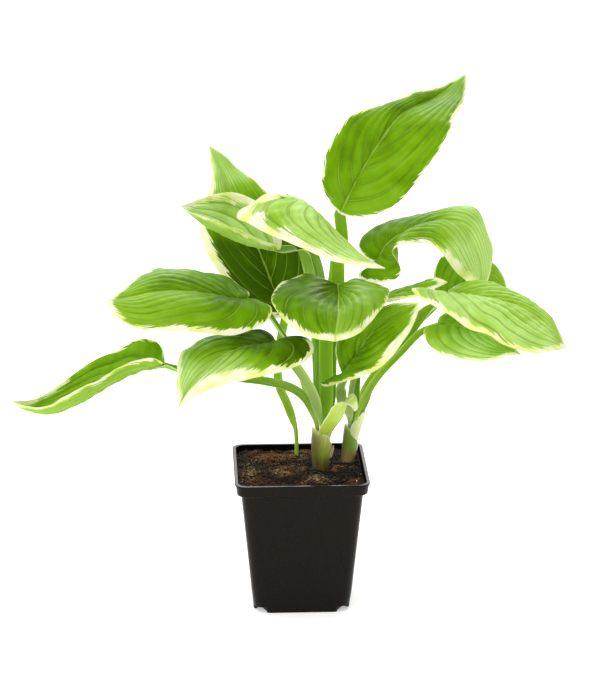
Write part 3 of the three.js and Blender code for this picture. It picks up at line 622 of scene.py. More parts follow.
def put_piece(name, points, faces, material, replaced=(), values=None, lie=None, smooth=True):
    """Puts a solid into the scene, riding on the one body, and gives it back. Values are numbers on its
    points that its material reads by name, and lie is each point's place on its own surface, in
    millimetres."""
    faces = facing_out(points, faces)
    mesh = bpy.data.meshes.new(name)
    mesh.vertices.add(len(points))
    mesh.vertices.foreach_set("co", (points * MM).astype(np.float32).ravel())
    corners = np.concatenate([group.ravel() for group in faces]).astype(np.int32)
    sides = np.concatenate([np.full(len(group), group.shape[1]) for group in faces])
    starts = np.concatenate([[0], np.cumsum(sides)[:-1]]).astype(np.int32)
    mesh.loops.add(len(corners))
    mesh.loops.foreach_set("vertex_index", corners)
    mesh.polygons.add(len(sides))
    mesh.polygons.foreach_set("loop_start", starts)
    mesh.polygons.foreach_set("use_smooth", np.full(len(sides), smooth))
    mesh.update(calc_edges=True)
    mesh.validate()
    for key, numbers in (values or {}).items():
        made = mesh.attributes.new(key, "FLOAT", "POINT")
        made.data.foreach_set("value", numbers.astype(np.float32).ravel())
    if lie is not None:
        made = mesh.uv_layers.new(name="lie")
        made.data.foreach_set("uv", lie[corners].astype(np.float32).ravel())
    mesh.materials.append(material)
    piece = bpy.data.objects.new(name, mesh)
    bpy.context.scene.collection.objects.link(piece)
    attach(piece, "root")
    if replaced:
        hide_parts(*replaced)
    return piece


# Materials


def linear(hex_colour):
    """An sRGB colour such as #8fbb19 as the linear values that shaders take."""
    parts = [int(hex_colour[k : k + 2], 16) / 255 for k in (1, 3, 5)]
    return tuple(c / 12.92 if c <= 0.04045 else ((c + 0.055) / 1.055) ** 2.4 for c in parts) + (1,)


def add(tree, kind, settings, inputs, output=None):
    """Adds a node with its settings. An input is named, or numbered where names repeat, and takes a hex
    colour, a number or the socket that feeds it. Gives back the named output, or else the first in use."""
    made = tree.nodes.new("ShaderNode" + kind)
    for key, value in settings.items():
        setattr(made, key, value)
    for key, value in inputs.items():
        if isinstance(key, str):
            key = next(k for k, s in enumerate(made.inputs) if s.name == key and s.enabled)
        socket = made.inputs[key]
        if isinstance(value, bpy.types.NodeSocket):
            tree.links.new(value, socket)
        else:
            socket.default_value = linear(value) if isinstance(value, str) else value
    if output:
        return made.outputs[output]
    return next((s for s in made.outputs if s.enabled), None)


def blank_material(name):
    """A material with an empty node tree."""
    material = bpy.data.materials.new(name)
    material.use_nodes = True
    material.node_tree.nodes.clear()
    return material, material.node_tree


def finish_surface(tree, colour, roughness, bump, constants):
    """Joins a colour, a roughness and a bump to the surface shader, with its fixed numbers. A bump is what
    feeds its height, its strength and how far it stands off."""
    height, strength, distance = bump
    normal = add(tree, "Bump", {}, {"Height": height, "Strength": strength, "Distance": distance})
    inputs = {"Base Color": colour, "Roughness": roughness, "Normal": normal, **constants}
    shader = add(tree, "BsdfPrincipled", {}, inputs)
    add(tree, "OutputMaterial", {}, {"Surface": shader})


def pot_material():
    """Polypropylene, injection-moulded in black: a warm, very dark grey with a satin sheen, a fine matt
    grain from the mould, and a little dust and peat water dried on the walls."""
    material, tree = blank_material("Injection-moulded black polypropylene")
    place = add(tree, "TexCoord", {}, {}, "Object")
    grain = add(tree, "TexNoise", {}, {"Vector": place, "Scale": 1 / (0.5 * MM), "Detail": 3.0})
    runs = add(tree, "Mapping", {}, {"Vector": place, "Scale": (1 / (5 * MM), 1 / (5 * MM), 1 / (30 * MM))})
    dust = add(tree, "TexNoise", {}, {"Vector": runs, "Scale": 1.0, "Detail": 5.0, "Roughness": 0.65})
    dusty = add(tree, "MapRange", SOFT, {"Value": dust, "From Min": 0.5, "From Max": 0.85, "To Max": 0.3})
    colour = add(tree, "Mix", BLEND, {"Factor": dusty, "A": "#090807", "B": "#1e1a16"})
    roughness = add(tree, "MapRange", {}, {"Value": dust, "To Min": 0.2, "To Max": 0.36})
    finish_surface(tree, colour, roughness, (grain, 0.12, 0.06 * MM), {
        "IOR": 1.49, "Specular IOR Level": 0.15, "Specular Tint": linear("#ffe9d6"),
    })
    return material


def mix_material():
    """Damp peat with composted bark: near black where it is wet, red-brown where it has dried, with
    crumbs of about a millimetre and painted shade in the hollows between them."""
    material, tree = blank_material("Damp peat and composted bark")
    place = add(tree, "TexCoord", {}, {}, "Object")
    crumbs = add(tree, "TexVoronoi", {}, {"Vector": place, "Scale": 1 / (1.1 * MM)}, "Distance")
    patches = add(tree, "TexNoise", {}, {"Vector": place, "Scale": 1 / (7 * MM), "Detail": 6.0})
    dried = add(tree, "MapRange", SOFT, {"Value": patches, "From Min": 0.42, "From Max": 0.68})
    ground = add(tree, "Mix", BLEND, {"Factor": dried, "A": "#0a0704", "B": "#2c1a0c"})
    # Painted shade: darker where the crumbs' bump sinks lowest
    lit = add(tree, "MapRange", {}, {"Value": crumbs, "From Max": 0.6, "To Min": 0.5, "To Max": 0.0})
    colour = add(tree, "Mix", BLEND, {"Factor": lit, "A": ground, "B": "#0a0705"})
    finish_surface(tree, colour, 0.85, (crumbs, 0.8, 0.6 * MM), {"IOR": 1.45, "Specular IOR Level": 0.35})
    return material


def scrap_material(name, dark, light, roughness):
    """Loose scraps in the mix, each with its own shade between a dark and a light colour, and a fibrous
    grain of about half a millimetre."""
    material, tree = blank_material(name)
    place = add(tree, "TexCoord", {}, {}, "Object")
    shade = add(tree, "Attribute", {"attribute_name": "shade"}, {}, "Fac")
    grain = add(tree, "TexNoise", {}, {"Vector": place, "Scale": 1 / (0.6 * MM), "Detail": 4.0})
    mottled = add(tree, "Math", TIMES_PLUS, {0: grain, 1: 0.6, 2: -0.3})
    share = add(tree, "Math", {"operation": "ADD", "use_clamp": True}, {0: shade, 1: mottled})
    colour = add(tree, "Mix", BLEND, {"Factor": share, "A": dark, "B": light})
    finish_surface(tree, colour, roughness, (grain, 0.5, 0.2 * MM), {
        "IOR": 1.45, "Specular IOR Level": 0.35,
    })
    return material


def crown_material():
    """The fleshy root crown: pale, matt, with brown skin flaking off in patches of a few millimetres."""
    material, tree = blank_material("Fleshy root crown")
    place = add(tree, "TexCoord", {}, {}, "Object")
    flakes = add(tree, "TexNoise", {}, {"Vector": place, "Scale": 1 / (4 * MM), "Detail": 6.0})
    peeled = add(tree, "MapRange", SOFT, {"Value": flakes, "From Min": 0.45, "From Max": 0.6})
    colour = add(tree, "Mix", BLEND, {"Factor": peeled, "A": "#6d4f2e", "B": "#cdbb8c"})
    finish_surface(tree, colour, 0.75, (flakes, 0.6, 0.8 * MM), {"IOR": 1.4})
    return material


def blade_material(name, leaf):
    """A hosta blade: waxy green tissue with a pale line in each vein and painted shade in the sunken veins,
    with painted light and shade along the blade, from a deep green up to a pale painted glare, with a cream
    margin whose edge runs out in ragged tongues along the veins, and a yellow-green zone where the two
    tissues overlap. The underside is paler and matter."""
    material, tree = blank_material("Waxy hosta blade " + name)
    place = add(tree, "TexCoord", {}, {}, "Object")
    lie = add(tree, "UVMap", {"uv_map": "lie"}, {})
    green_depth, light, vein_place, from_midrib, below = (
        add(tree, "Attribute", {"attribute_name": key}, {}, "Fac")
        for key in ("green_depth", "light", "vein_place", "from_midrib", "below")
    )

    # Painted light and shade: the green lightens along the blade as the leaf's light says, from a painted
    # shade to a painted glare, and in patches of about two centimetres and in streaks along the veins
    patches = add(tree, "TexNoise", {}, {"Vector": place, "Scale": 1 / (22 * MM), "Detail": 3.0})
    drawn = add(tree, "Mapping", {}, {"Vector": lie, "Scale": (1 / 30, 1 / 2.2, 1)})
    streaks = add(tree, "TexNoise", {}, {"Vector": drawn, "Scale": 1.0, "Detail": 4.0, "Roughness": 0.62})
    level = add(tree, "Math", TIMES_PLUS, {0: patches, 1: 2.2, 2: light})
    level = add(tree, "Math", TIMES_PLUS, {0: streaks, 1: 1.8, 2: level})
    green = GREENS_SHADE_TO_GLARE[0]
    for step, lighter in enumerate(GREENS_SHADE_TO_GLARE[1:]):
        share = add(tree, "Math", {"operation": "SUBTRACT", "use_clamp": True}, {0: level, 1: 2.0 + step})
        green = add(tree, "Mix", BLEND, {"Factor": share, "A": green, "B": lighter})

    # Veins: painted shade in each groove, and a thin pale line in it wherever the vein place is a whole
    # number, where the line fades in and out along its run
    off = add(tree, "Math", {"operation": "PINGPONG"}, {0: vein_place, 1: 0.5})
    groove = add(tree, "MapRange", SOFT, {
        "Value": off, "From Min": 0.03, "From Max": 0.15, "To Min": 0.44, "To Max": 0.0,
    })
    line = add(tree, "MapRange", SOFT, {
        "Value": off, "From Min": 0.0, "From Max": 0.055, "To Min": 1.0, "To Max": 0.0,
    })
    shown = add(tree, "MapRange", SOFT, {
        "Value": streaks, "From Min": 0.3, "From Max": 0.62, "To Max": 0.42,
    })
    line = add(tree, "Math", TIMES, {0: line, 1: shown})
    # The groove takes the deepest green as painted shade; the pale line is the vein's own colour
    for share, vein in ((groove, GREENS_SHADE_TO_GLARE[0]), (line, "#bcd85c")):
        green = add(tree, "Mix", BLEND, {"Factor": share, "A": green, "B": vein})

    # The margin: tongues a few centimetres long that run in from it at a slant, over patches that wander
    ragged = leaf["ragged"]
    run, to_side = (add(tree, "SeparateXYZ", {}, {"Vector": lie}, axis) for axis in ("X", "Y"))
    to_side = add(tree, "Math", {"operation": "ABSOLUTE"}, {0: to_side})
    slanted = add(tree, "Math", TIMES_PLUS, {0: run, 1: -TONGUE_SLANT, 2: to_side})
    long_place = add(tree, "CombineXYZ", {}, {"X": run, "Y": slanted})
    long_place = add(tree, "Mapping", {}, {"Vector": long_place, "Scale": (1 / 26, 1 / 0.9, 1)})
    tongues = add(tree, "TexNoise", {}, {
        "Vector": long_place, "Scale": 1.0, "Detail": 4.0, "Roughness": 0.6,
    })
    wander = add(tree, "TexNoise", {}, {"Vector": place, "Scale": 1 / (16 * MM), "Detail": 1.0})
    rough = add(tree, "Math", TIMES_PLUS, {0: wander, 1: 0.5, 2: tongues})
    shift = add(tree, "Math", TIMES_PLUS, {0: rough, 1: 7.0 * ragged, 2: -5.3 * ragged})
    depth = add(tree, "Math", PLUS, {0: green_depth, 1: shift})
    ahead = add(tree, "Math", TIMES_PLUS, {0: streaks, 1: 9 * ragged, 2: -5.2 * ragged})
    further = add(tree, "Math", {"operation": "SUBTRACT"}, {0: depth, 1: ahead})
    overlap = add(tree, "MapRange", SOFT, {
        "Value": further, "From Min": -0.1, "From Max": 0.5, "To Min": 0.8, "To Max": 0.0,
    })
    green = add(tree, "Mix", BLEND, {"Factor": overlap, "A": green, "B": "#b3ce58"})
    cream = add(tree, "MapRange", SOFT, {
        "Value": depth, "From Min": -0.12, "From Max": 0.2, "To Min": 1.0, "To Max": 0.0,
    })
    tint = add(tree, "MapRange", SOFT, {"Value": wander, "From Min": 0.42, "From Max": 0.62})
    white = add(tree, "Mix", BLEND, {"Factor": tint, "A": "#ecebca", "B": "#dde38c"})
    colour = add(tree, "Mix", BLEND, {"Factor": cream, "A": green, "B": white})

    # The midrib, pale and as wide as its channel, and the paler underside
    rib = add(tree, "MapRange", SOFT, {
        "Value": from_midrib, "From Min": 0.25, "From Max": 0.8, "To Min": 0.6, "To Max": 0.0,
    })
    under = add(tree, "Math", TIMES, {0: below, 1: 0.3})
    for share, paler in ((rib, "#b4d25c"), (under, "#a3c458")):
        colour = add(tree, "Mix", BLEND, {"Factor": share, "A": colour, "B": paler})

    # Gloss: satin above, duller below, with a skin of cells drawn out along the veins
    cells = add(tree, "Mapping", {}, {"Vector": lie, "Scale": (1 / 1.2, 1 / 0.35, 1)})
    skin = add(tree, "TexNoise", {}, {"Vector": cells, "Scale": 1.0, "Detail": 2.0})
    sheen = add(tree, "MapRange", {}, {"Value": skin, "To Min": 0.36, "To Max": 0.5})
    roughness = add(tree, "Math", TIMES_PLUS, {0: below, 1: 0.2, 2: sheen})
    finish_surface(tree, colour, roughness, (skin, 0.3, 0.12 * MM), {
        "IOR": 1.42, "Specular IOR Level": 0.32, "Specular Tint": linear("#c8e45c"),
        "Subsurface Weight": 0.25, "Subsurface Radius": (0.7, 1.0, 0.25), "Subsurface Scale": 1.0 * MM,
    })
    return material


def stalk_material(name, body, rim):
    """A leaf stalk: smooth satin skin with fine lengthwise ridges, paler towards its foot, where little
    light falls, with painted shade in its channel, and pale along the channel's two rims."""
    material, tree = blank_material("Satin hosta stalk " + name)
    lie = add(tree, "UVMap", {"uv_map": "lie"}, {})
    towards_rim, in_channel = (
        add(tree, "Attribute", {"attribute_name": key}, {}, "Fac") for key in ("towards_rim", "in_channel")
    )
    drawn = add(tree, "Mapping", {}, {"Vector": lie, "Scale": (1 / 30, 1 / 0.5, 1)})
    lines = add(tree, "TexNoise", {}, {"Vector": drawn, "Scale": 1.0, "Detail": 3.0})
    pale = add(tree, "MapRange", SOFT, {"Value": lines, "From Min": 0.4, "From Max": 0.7, "To Max": 0.45})
    run = add(tree, "SeparateXYZ", {}, {"Vector": lie}, "X")
    bleached = add(tree, "MapRange", SOFT, {
        "Value": run, "From Min": 62.0, "From Max": 115.0, "To Min": 0.35, "To Max": 0.0,
    })
    # Painted shade in the channel, towards a deep green
    shade = add(tree, "Math", TIMES, {0: in_channel, 1: 0.38})
    edge = add(tree, "MapRange", SOFT, {"Value": towards_rim, "From Min": 0.86, "From Max": 0.98})
    colour = body
    for share, other in ((pale, rim), (bleached, rim), (shade, "#3f6206"), (edge, rim)):
        colour = add(tree, "Mix", BLEND, {"Factor": share, "A": colour, "B": other})
    finish_surface(tree, colour, 0.42, (lines, 0.4, 0.15 * MM), {
        "IOR": 1.42, "Specular IOR Level": 0.35, "Specular Tint": linear("#d0e48c"),
        "Subsurface Weight": 0.25, "Subsurface Radius": (0.8, 1.0, 0.3), "Subsurface Scale": 1.5 * MM,
    })
    return material


def sheath_material(name, foot, body, tip):
    """A leaf-base sheath: thin and satin, brown-stained at the foot and down one side, green above, with
    pale ribs and a pale papery rim."""
    material, tree = blank_material("Satin leaf-base sheath " + name)
    lie = add(tree, "UVMap", {"uv_map": "lie"}, {})
    height, rim, stained = (
        add(tree, "Attribute", {"attribute_name": key}, {}, "Fac") for key in ("height", "rim", "stained")
    )
    drawn = add(tree, "Mapping", {}, {"Vector": lie, "Scale": (1 / 16, 1 / 0.7, 1)})
    lines = add(tree, "TexNoise", {}, {"Vector": drawn, "Scale": 1.0, "Detail": 4.0, "Roughness": 0.6})
    wavering = add(tree, "Math", TIMES_PLUS, {0: lines, 1: 0.5, 2: -0.25})
    level = add(tree, "Math", PLUS, {0: height, 1: wavering})
    low = add(tree, "MapRange", SOFT, {"Value": level, "From Min": 0.4, "From Max": 0.62})
    high = add(tree, "MapRange", SOFT, {"Value": level, "From Min": 0.75, "From Max": 1.0})
    stain = add(tree, "Math", TIMES, {0: stained, 1: 0.75})
    ribbed = add(tree, "MapRange", SOFT, {"Value": lines, "From Min": 0.5, "From Max": 0.75, "To Max": 0.35})
    edge = add(tree, "MapRange", SOFT, {
        "Value": rim, "From Min": 0.2, "From Max": 1.1, "To Min": 0.9, "To Max": 0.0,
    })
    colour = foot
    layers = ((low, body), (high, tip), (stain, "#5f4a30"), (ribbed, "#d8dc8c"), (edge, "#eceac4"))
    for share, other in layers:
        colour = add(tree, "Mix", BLEND, {"Factor": share, "A": colour, "B": other})
    finish_surface(tree, colour, 0.4, (lines, 0.5, 0.2 * MM), {
        "IOR": 1.42, "Subsurface Weight": 0.3, "Subsurface Radius": (1.0, 0.9, 0.4),
        "Subsurface Scale": 1.5 * MM,
    })
    return material


def scale_material():
    """A dried scale leaf: papery and tan, with darker brown lines along it and bleached edges."""
    material, tree = blank_material("Dry papery scale leaf")
    lie = add(tree, "UVMap", {"uv_map": "lie"}, {})
    drawn = add(tree, "Mapping", {}, {"Vector": lie, "Scale": (1 / 8, 1 / 0.4, 1)})
    lines = add(tree, "TexNoise", {}, {"Vector": drawn, "Scale": 1.0, "Detail": 4.0})
    browned = add(tree, "MapRange", SOFT, {"Value": lines, "From Min": 0.35, "From Max": 0.65})
    colour = add(tree, "Mix", BLEND, {"Factor": browned, "A": "#8a6236", "B": "#dcc394"})
    finish_surface(tree, colour, 0.75, (lines, 0.6, 0.2 * MM), {"IOR": 1.45, "Sheen Weight": 0.15})
    return material


# The pot and what it holds


def squared_ring(stops, corner_steps):
    """One turn round a square with rounded corners: for each point, the corner or the place on a side
    that it belongs to, from -1 to 1, and the way that it faces. Stops are places along each side."""
    corners = np.array([(1, 1), (-1, 1), (-1, -1), (1, -1)], float)
    base, angle = [], []
    for quarter, here in enumerate(corners):
        after = corners[(quarter + 1) % 4]
        share = (1 + np.asarray(stops)[:, None]) / 2
        base += [np.repeat(here[None], corner_steps, axis=0), here + (after - here) * share]
        angle += [(quarter + np.linspace(0, 1, corner_steps)) * 90, np.full(len(stops), (quarter + 1) * 90)]
    angle = np.radians(np.concatenate(angle))
    return np.vstack(base), np.stack([np.cos(angle), np.sin(angle)], axis=-1)


def squared_rings(ring, profile, corner_radius):
    """A ring for each (half width, height) of a profile: half less radius times the ring's base, plus
    radius times the way that it faces."""
    base, facing = ring
    half = profile[:, 0, None, None]
    radius = np.minimum(corner_radius, half)
    flat = (half - radius) * base + radius * facing
    height = np.broadcast_to(profile[:, 1, None, None], flat.shape[:2] + (1,))
    return np.concatenate([flat, height], axis=-1)


def rounded(profile, longest):
    """A profile of (half width, height, rounding) as points: each corner becomes a curve that starts and
    ends its rounding away from it, with one point more on each side so that flat stretches shade flat,
    and stretches over the longest length are divided."""
    points = [profile[0, :2]]
    turns = np.linspace(0, 1, ROUNDING_STEPS)[:, None]
    for before, corner, after in zip(profile[:-2], profile[1:-1], profile[2:]):
        size, spot = corner[2], corner[:2]
        back, on = unit(before[:2] - spot), unit(after[:2] - spot)
        arc = (1 - turns) ** 2 * (spot + back * size) + 2 * turns * (1 - turns) * spot
        arc = arc + turns**2 * (spot + on * size)
        points += [spot + back * size * FLAT_FROM, *arc, spot + on * size * FLAT_FROM]
    points.append(profile[-1, :2])
    filled = [points[0]]
    for point in points[1:]:
        parts = max(1, int(np.ceil(np.linalg.norm(point - filled[-1]) / longest)))
        start = filled[-1]
        filled += [start + (point - start) * k / parts for k in range(1, parts + 1)]
    return np.array(filled)


def foot_lift(rings):
    """Raises the four corners of a squared solid's foot: by the foot's raise where the distance from the
    middle along the diagonal passes the slope, and less and less up the walls."""
    diagonal = (np.abs(rings[..., 0]) + np.abs(rings[..., 1])) / np.sqrt(2)
    share = np.clip(1 - rings[..., 2] / FOOT_FADE, 0, 1)
    rings[..., 2] += FOOT_RAISE * smoothstep(*FOOT_SLOPE, diagonal) * share
    return rings


def body_half(height):
    """Half the body's outside width at a height."""
    return BODY_BOTTOM_HALF + (BODY_TOP_HALF - BODY_BOTTOM_HALF) * height / (POT_HEIGHT - RIM_BAND_HEIGHT)


def side_stops():
    """Places along a pot's side, close together where the foot slopes up to its corners."""
    right = np.concatenate([np.linspace(*stops) for stops in SIDE_STOPS])
    return np.concatenate([-right[::-1], [0], right])


def drain_rods():
    """Four upright rods through the pot's floor, as one mesh."""
    turn = np.linspace(0, 2 * np.pi, DRAIN_SIDES, endpoint=False)
    circle = DRAIN_RADIUS * np.stack([np.cos(turn), np.sin(turn), 0 * turn], axis=-1)
    depth = FOOT_RAISE + 2 * POT_WALL
    points, faces = closed_rings(np.stack([circle - (0, 0, depth), circle + (0, 0, depth)]))
    faces = facing_out(points, faces)
    places = DRAIN_PLACE * np.array([(1, 1, 0), (-1, 1, 0), (-1, -1, 0), (1, -1, 0)])
    everywhere = (places[:, None] + points[None]).reshape(-1, 3)
    corners = [face.tolist() for group in copies(faces, len(places), len(points)) for face in group]
    mesh = bpy.data.meshes.new("drain_rods")
    mesh.from_pydata((everywhere * MM).tolist(), [], corners)
    return bpy.data.objects.new("drain_rods", mesh)


def make_pot():
    """The pot: a profile from the middle of the underside, up the wall, over the band and the rolled lip
    and down the inside to the middle of the floor, carried round a square with rounded corners."""
    band_foot = POT_HEIGHT - RIM_BAND_HEIGHT
    corners = [
        (MIDDLE_HALF, 0), (BODY_BOTTOM_HALF, 0), (BODY_TOP_HALF, band_foot),
        (BAND_HALF, band_foot + POT_WALL), (RIM_HALF - BAND_TAPER, POT_HEIGHT - LIP_HEIGHT),
        (RIM_HALF, POT_HEIGHT - LIP_HEIGHT), (RIM_HALF, POT_HEIGHT), (RIM_HALF - 2 * POT_WALL, POT_HEIGHT),
        (BAND_HALF - POT_WALL, band_foot + 2 * POT_WALL), (BODY_TOP_HALF - POT_WALL, band_foot + POT_WALL),
        (body_half(POT_WALL) - POT_WALL, POT_WALL), (MIDDLE_HALF, POT_WALL),
    ]
    profile = rounded(np.column_stack([corners, POT_ROUNDINGS]), POT_LONGEST)
    ring = squared_ring(side_stops(), POT_CORNER_STEPS)
    rings = foot_lift(squared_rings(ring, profile, POT_CORNER_RADIUS))
    points, faces = closed_rings(rings)
    pot = put_piece("nursery_pot", points, faces, pot_material(), ["pot"])
    rods = drain_rods()
    bpy.context.scene.collection.objects.link(rods)
    cut = pot.modifiers.new("drain holes", "BOOLEAN")
    cut.object = rods
    cut.solver = "EXACT"
    pierced = bpy.data.meshes.new_from_object(pot.evaluated_get(bpy.context.evaluated_depsgraph_get()))
    pot.modifiers.clear()
    pot.data = pierced
    bpy.data.objects.remove(rods)


def mix_height(x, y):
    """The height of the mix's top: a low heap with crumbs of three sizes, and a hollow round each shoot."""
    share = np.maximum(np.abs(x), np.abs(y)) / (BAND_HALF - POT_WALL)
    place = np.stack([x, y], axis=-1)
    height = passing(MIX_HEIGHTS, share)
    for size, rise, seed in MIX_CRUMBS:
        height = height + rise * noise(place, size, seed)
    for shoot in SHOOTS.values():
        away = np.hypot(x - shoot["foot"][0], y - shoot["foot"][1]) - shoot["column"]
        height = height - HOLLOW_DEPTH * np.exp(-((np.maximum(away, 0) / HOLLOW_REACH) ** 2))
    return height


def make_mix():
    """The mix: rings of the pot's inner shape, from the middle of the top, down the wall to the floor."""
    inner = BAND_HALF - MIX_FLOOR
    top = np.stack([np.linspace(MIX_MIDDLE_HALF, inner, MIX_TOP_RINGS), np.zeros(MIX_TOP_RINGS)], axis=-1)
    ledge = np.array([(inner, MIX_NECK_HEIGHT + POT_WALL), (BODY_TOP_HALF - MIX_FLOOR, MIX_NECK_HEIGHT)])
    heights = np.linspace(POT_HEIGHT - RIM_BAND_HEIGHT - MIX_NECK_DROP, MIX_FLOOR, MIX_WALL_RINGS)
    wall = np.stack([body_half(heights) - MIX_FLOOR, heights], axis=-1)
    wall = np.vstack([ledge, wall])
    floor = np.linspace(wall[-1, 0] * MIX_FLOOR_SHARE, MIX_MIDDLE_HALF, MIX_FLOOR_RINGS)
    floor = np.stack([floor, np.full(MIX_FLOOR_RINGS, MIX_FLOOR)], axis=-1)
    ring = squared_ring(np.linspace(*MIX_STOPS), MIX_CORNER_STEPS)
    upper = squared_rings(ring, top, POT_CORNER_RADIUS - POT_WALL)
    upper[..., 2] = mix_height(upper[..., 0], upper[..., 1])
    lower = foot_lift(squared_rings(ring, np.vstack([wall, floor]), POT_CORNER_RADIUS - POT_WALL))
    points, faces = closed_rings(np.concatenate([upper, lower]))
    put_piece("potting_mix_bed", points, faces, mix_material(), ["potting_mix"])


def scattered(count, rng, middle=(0, 0), spread=None):
    """Places on the mix, clear of the wall and the shoots: even all over, or thickest round a middle."""
    size = (count * 3, 2)
    spots = rng.uniform(-MIX_REACH, MIX_REACH, size) if spread is None else rng.normal(middle, spread, size)
    past = np.maximum(np.abs(spots) - MIX_REACH + SCRAPS_CORNER, 0)
    keep = np.linalg.norm(past, axis=1) < SCRAPS_CORNER
    for shoot in SHOOTS.values():
        away = np.hypot(*(spots - shoot["foot"][:2]).T)
        keep &= away > shoot["column"] + SCRAPS_CLEARANCE
    return spots[keep][:count]


def patchy(spots, rng):
    """A shade for each scrap, from 0 for dark to 1 for light: partly its own, and partly by where it lies,
    in patches of about a centimetre."""
    own = OWN_SHADE * rng.uniform(0, 1, len(spots))
    return np.clip(own + PATCH_SHADE * noise(spots, PATCH_SIZE, PATCH_SEED), 0, 1)


def put_fibres(patch, rng):
    """Loose fibres: each runs through its spot along a random way, bent sideways by a parabola and arched
    up in its middle, with a three-sided section that tapers to both ends."""
    name, middle, spread, count, reach, dark, light = patch
    spots = scattered(count, rng, middle, spread)
    count = len(spots)
    run = np.linspace(-0.5, 0.5, FIBRE_POINTS)[None]
    bow = 0.25 - run**2
    way = rng.uniform(0, 2 * np.pi, count)[:, None]
    length = rng.uniform(*reach, count)[:, None]
    bend = rng.normal(0, FIBRE_BEND, count)[:, None] * bow + rng.normal(0, FIBRE_KINK, (count, FIBRE_POINTS))
    x = np.clip(spots[:, :1] + length * (run * np.cos(way) - bend * np.sin(way)), -MIX_REACH, MIX_REACH)
    y = np.clip(spots[:, 1:] + length * (run * np.sin(way) + bend * np.cos(way)), -MIX_REACH, MIX_REACH)
    arch = rng.uniform(*FIBRE_ARCH, count)[:, None] * length * bow * 4
    z = mix_height(x, y) + rng.uniform(*FIBRE_RISE, count)[:, None] + np.maximum(arch, 0)
    z = np.minimum(z, SCRAPS_TOP)
    radius = rng.uniform(*FIBRE_RADIUS, count)[:, None] * np.sqrt(1 - (FIBRE_TAPER * run) ** 2)
    around = np.radians([90, 210, 330])[:, None]
    side = np.stack([-np.sin(way), np.cos(way), 0 * way], axis=-1)[:, :, None]
    section = side * np.cos(around) + np.array([0, 0, 1]) * np.sin(around)
    rings = np.stack([x, y, z], axis=-1)[:, :, None] + radius[..., None, None] * section
    _, faces = closed_rings(rings[0])
    ends = rings[:, [0, -1]].mean(axis=2)
    points = np.concatenate([rings.reshape(count, -1, 3), ends], axis=1)
    size = points.shape[1]
    faces = copies(facing_out(points[0], faces), count, size)
    shade = np.repeat(patchy(spots, rng), size)
    material = scrap_material("Fibre, " + name, dark, light, FIBRE_ROUGHNESS)
    put_piece("fibres_" + name, points.reshape(-1, 3), faces, material,
              values={"shade": shade})


def put_lumps(name, rng):
    """Loose lumps: balls of a few rings, pushed in and out at random, drawn out to a random length, width
    and height between two sizes, turned, and sunk into the mix by a share of their height."""
    kind = LUMPS[name]
    spots = np.array(kind["places"], float) if "places" in kind else scattered(kind["count"], rng)
    count = len(spots)
    rise = np.radians(LUMP_RINGS)[:, None]
    turn = np.linspace(0, 2 * np.pi, LUMP_SIDES, endpoint=False)[None]
    ball = (np.cos(rise) * np.cos(turn), np.cos(rise) * np.sin(turn), np.sin(rise))
    points, faces = closed_rings(np.stack(np.broadcast_arrays(*ball), axis=-1))
    faces = facing_out(points, faces)
    points = unit(points)
    half = rng.uniform(kind["low"], kind["high"], (count, 3)) / 2
    pushed = points[None] * rng.uniform(*LUMP_PUSH, (count, len(points), 1)) * half[:, None]
    yaw = rng.uniform(0, 360, count)
    lean = rng.normal(0, kind["tilt"], count)
    roll = rng.normal(0, kind["tilt"], count)
    every = np.stack([turned(p, (a, b, c)) for p, a, b, c in zip(pushed, lean, roll, yaw)])
    height = mix_height(spots[:, 0], spots[:, 1]) + half[:, 2] * (1 - 2 * kind["sunk"])
    every += np.column_stack([spots, height])[:, None]
    shade = np.repeat(patchy(spots, rng), len(points))
    faces = copies(faces, count, len(points))
    put_piece(name, every.reshape(-1, 3), faces, scrap_material(*kind["made_of"]),
              values={"shade": shade}, smooth=kind["smooth"])


def make_scraps():
    """What lies loose on the mix: bark chips, peat fibres in patches of their own colour, and perlite."""
    rng = np.random.default_rng(SCRAPS_SEED)
    for name in ("bark_chips", "peat_crumbs"):
        put_lumps(name, rng)
    for patch in FIBRE_PATCHES:
        put_fibres(patch, rng)
    for name in ("perlite", "bark_lumps"):
        put_lumps(name, rng)


# The plant


def axis_point(shoot, height):
    """Points on a shoot's straight axis at heights."""
    foot, neck = np.array(shoot["foot"], float), np.array(shoot["neck"], float)
    share = (np.asarray(height, float) - foot[2]) / (neck[2] - foot[2])
    return foot + share[..., None] * (neck - foot)


def taper(shoot, height):
    """How thick a shoot is at a height, as a share of its thickness at the neck."""
    share = (np.clip(height, ROOT_HEIGHT, shoot["neck"][2]) - ROOT_HEIGHT) / (shoot["neck"][2] - ROOT_HEIGHT)
    return ROOT_SHARE + (1 - ROOT_SHARE) * share


def slot_point(leaf, height):
    """A stalk's place in its shoot's bundle at heights."""
    shoot = SHOOTS[leaf["shoot"]]
    spot = axis_point(shoot, height)
    if leaf["slot"] == "centre":
        return spot
    angle = np.radians(leaf["slot"])
    ring = shoot["ring"] * taper(shoot, height)
    return spot + ring[:, None] * np.array([np.cos(angle), np.sin(angle), 0])


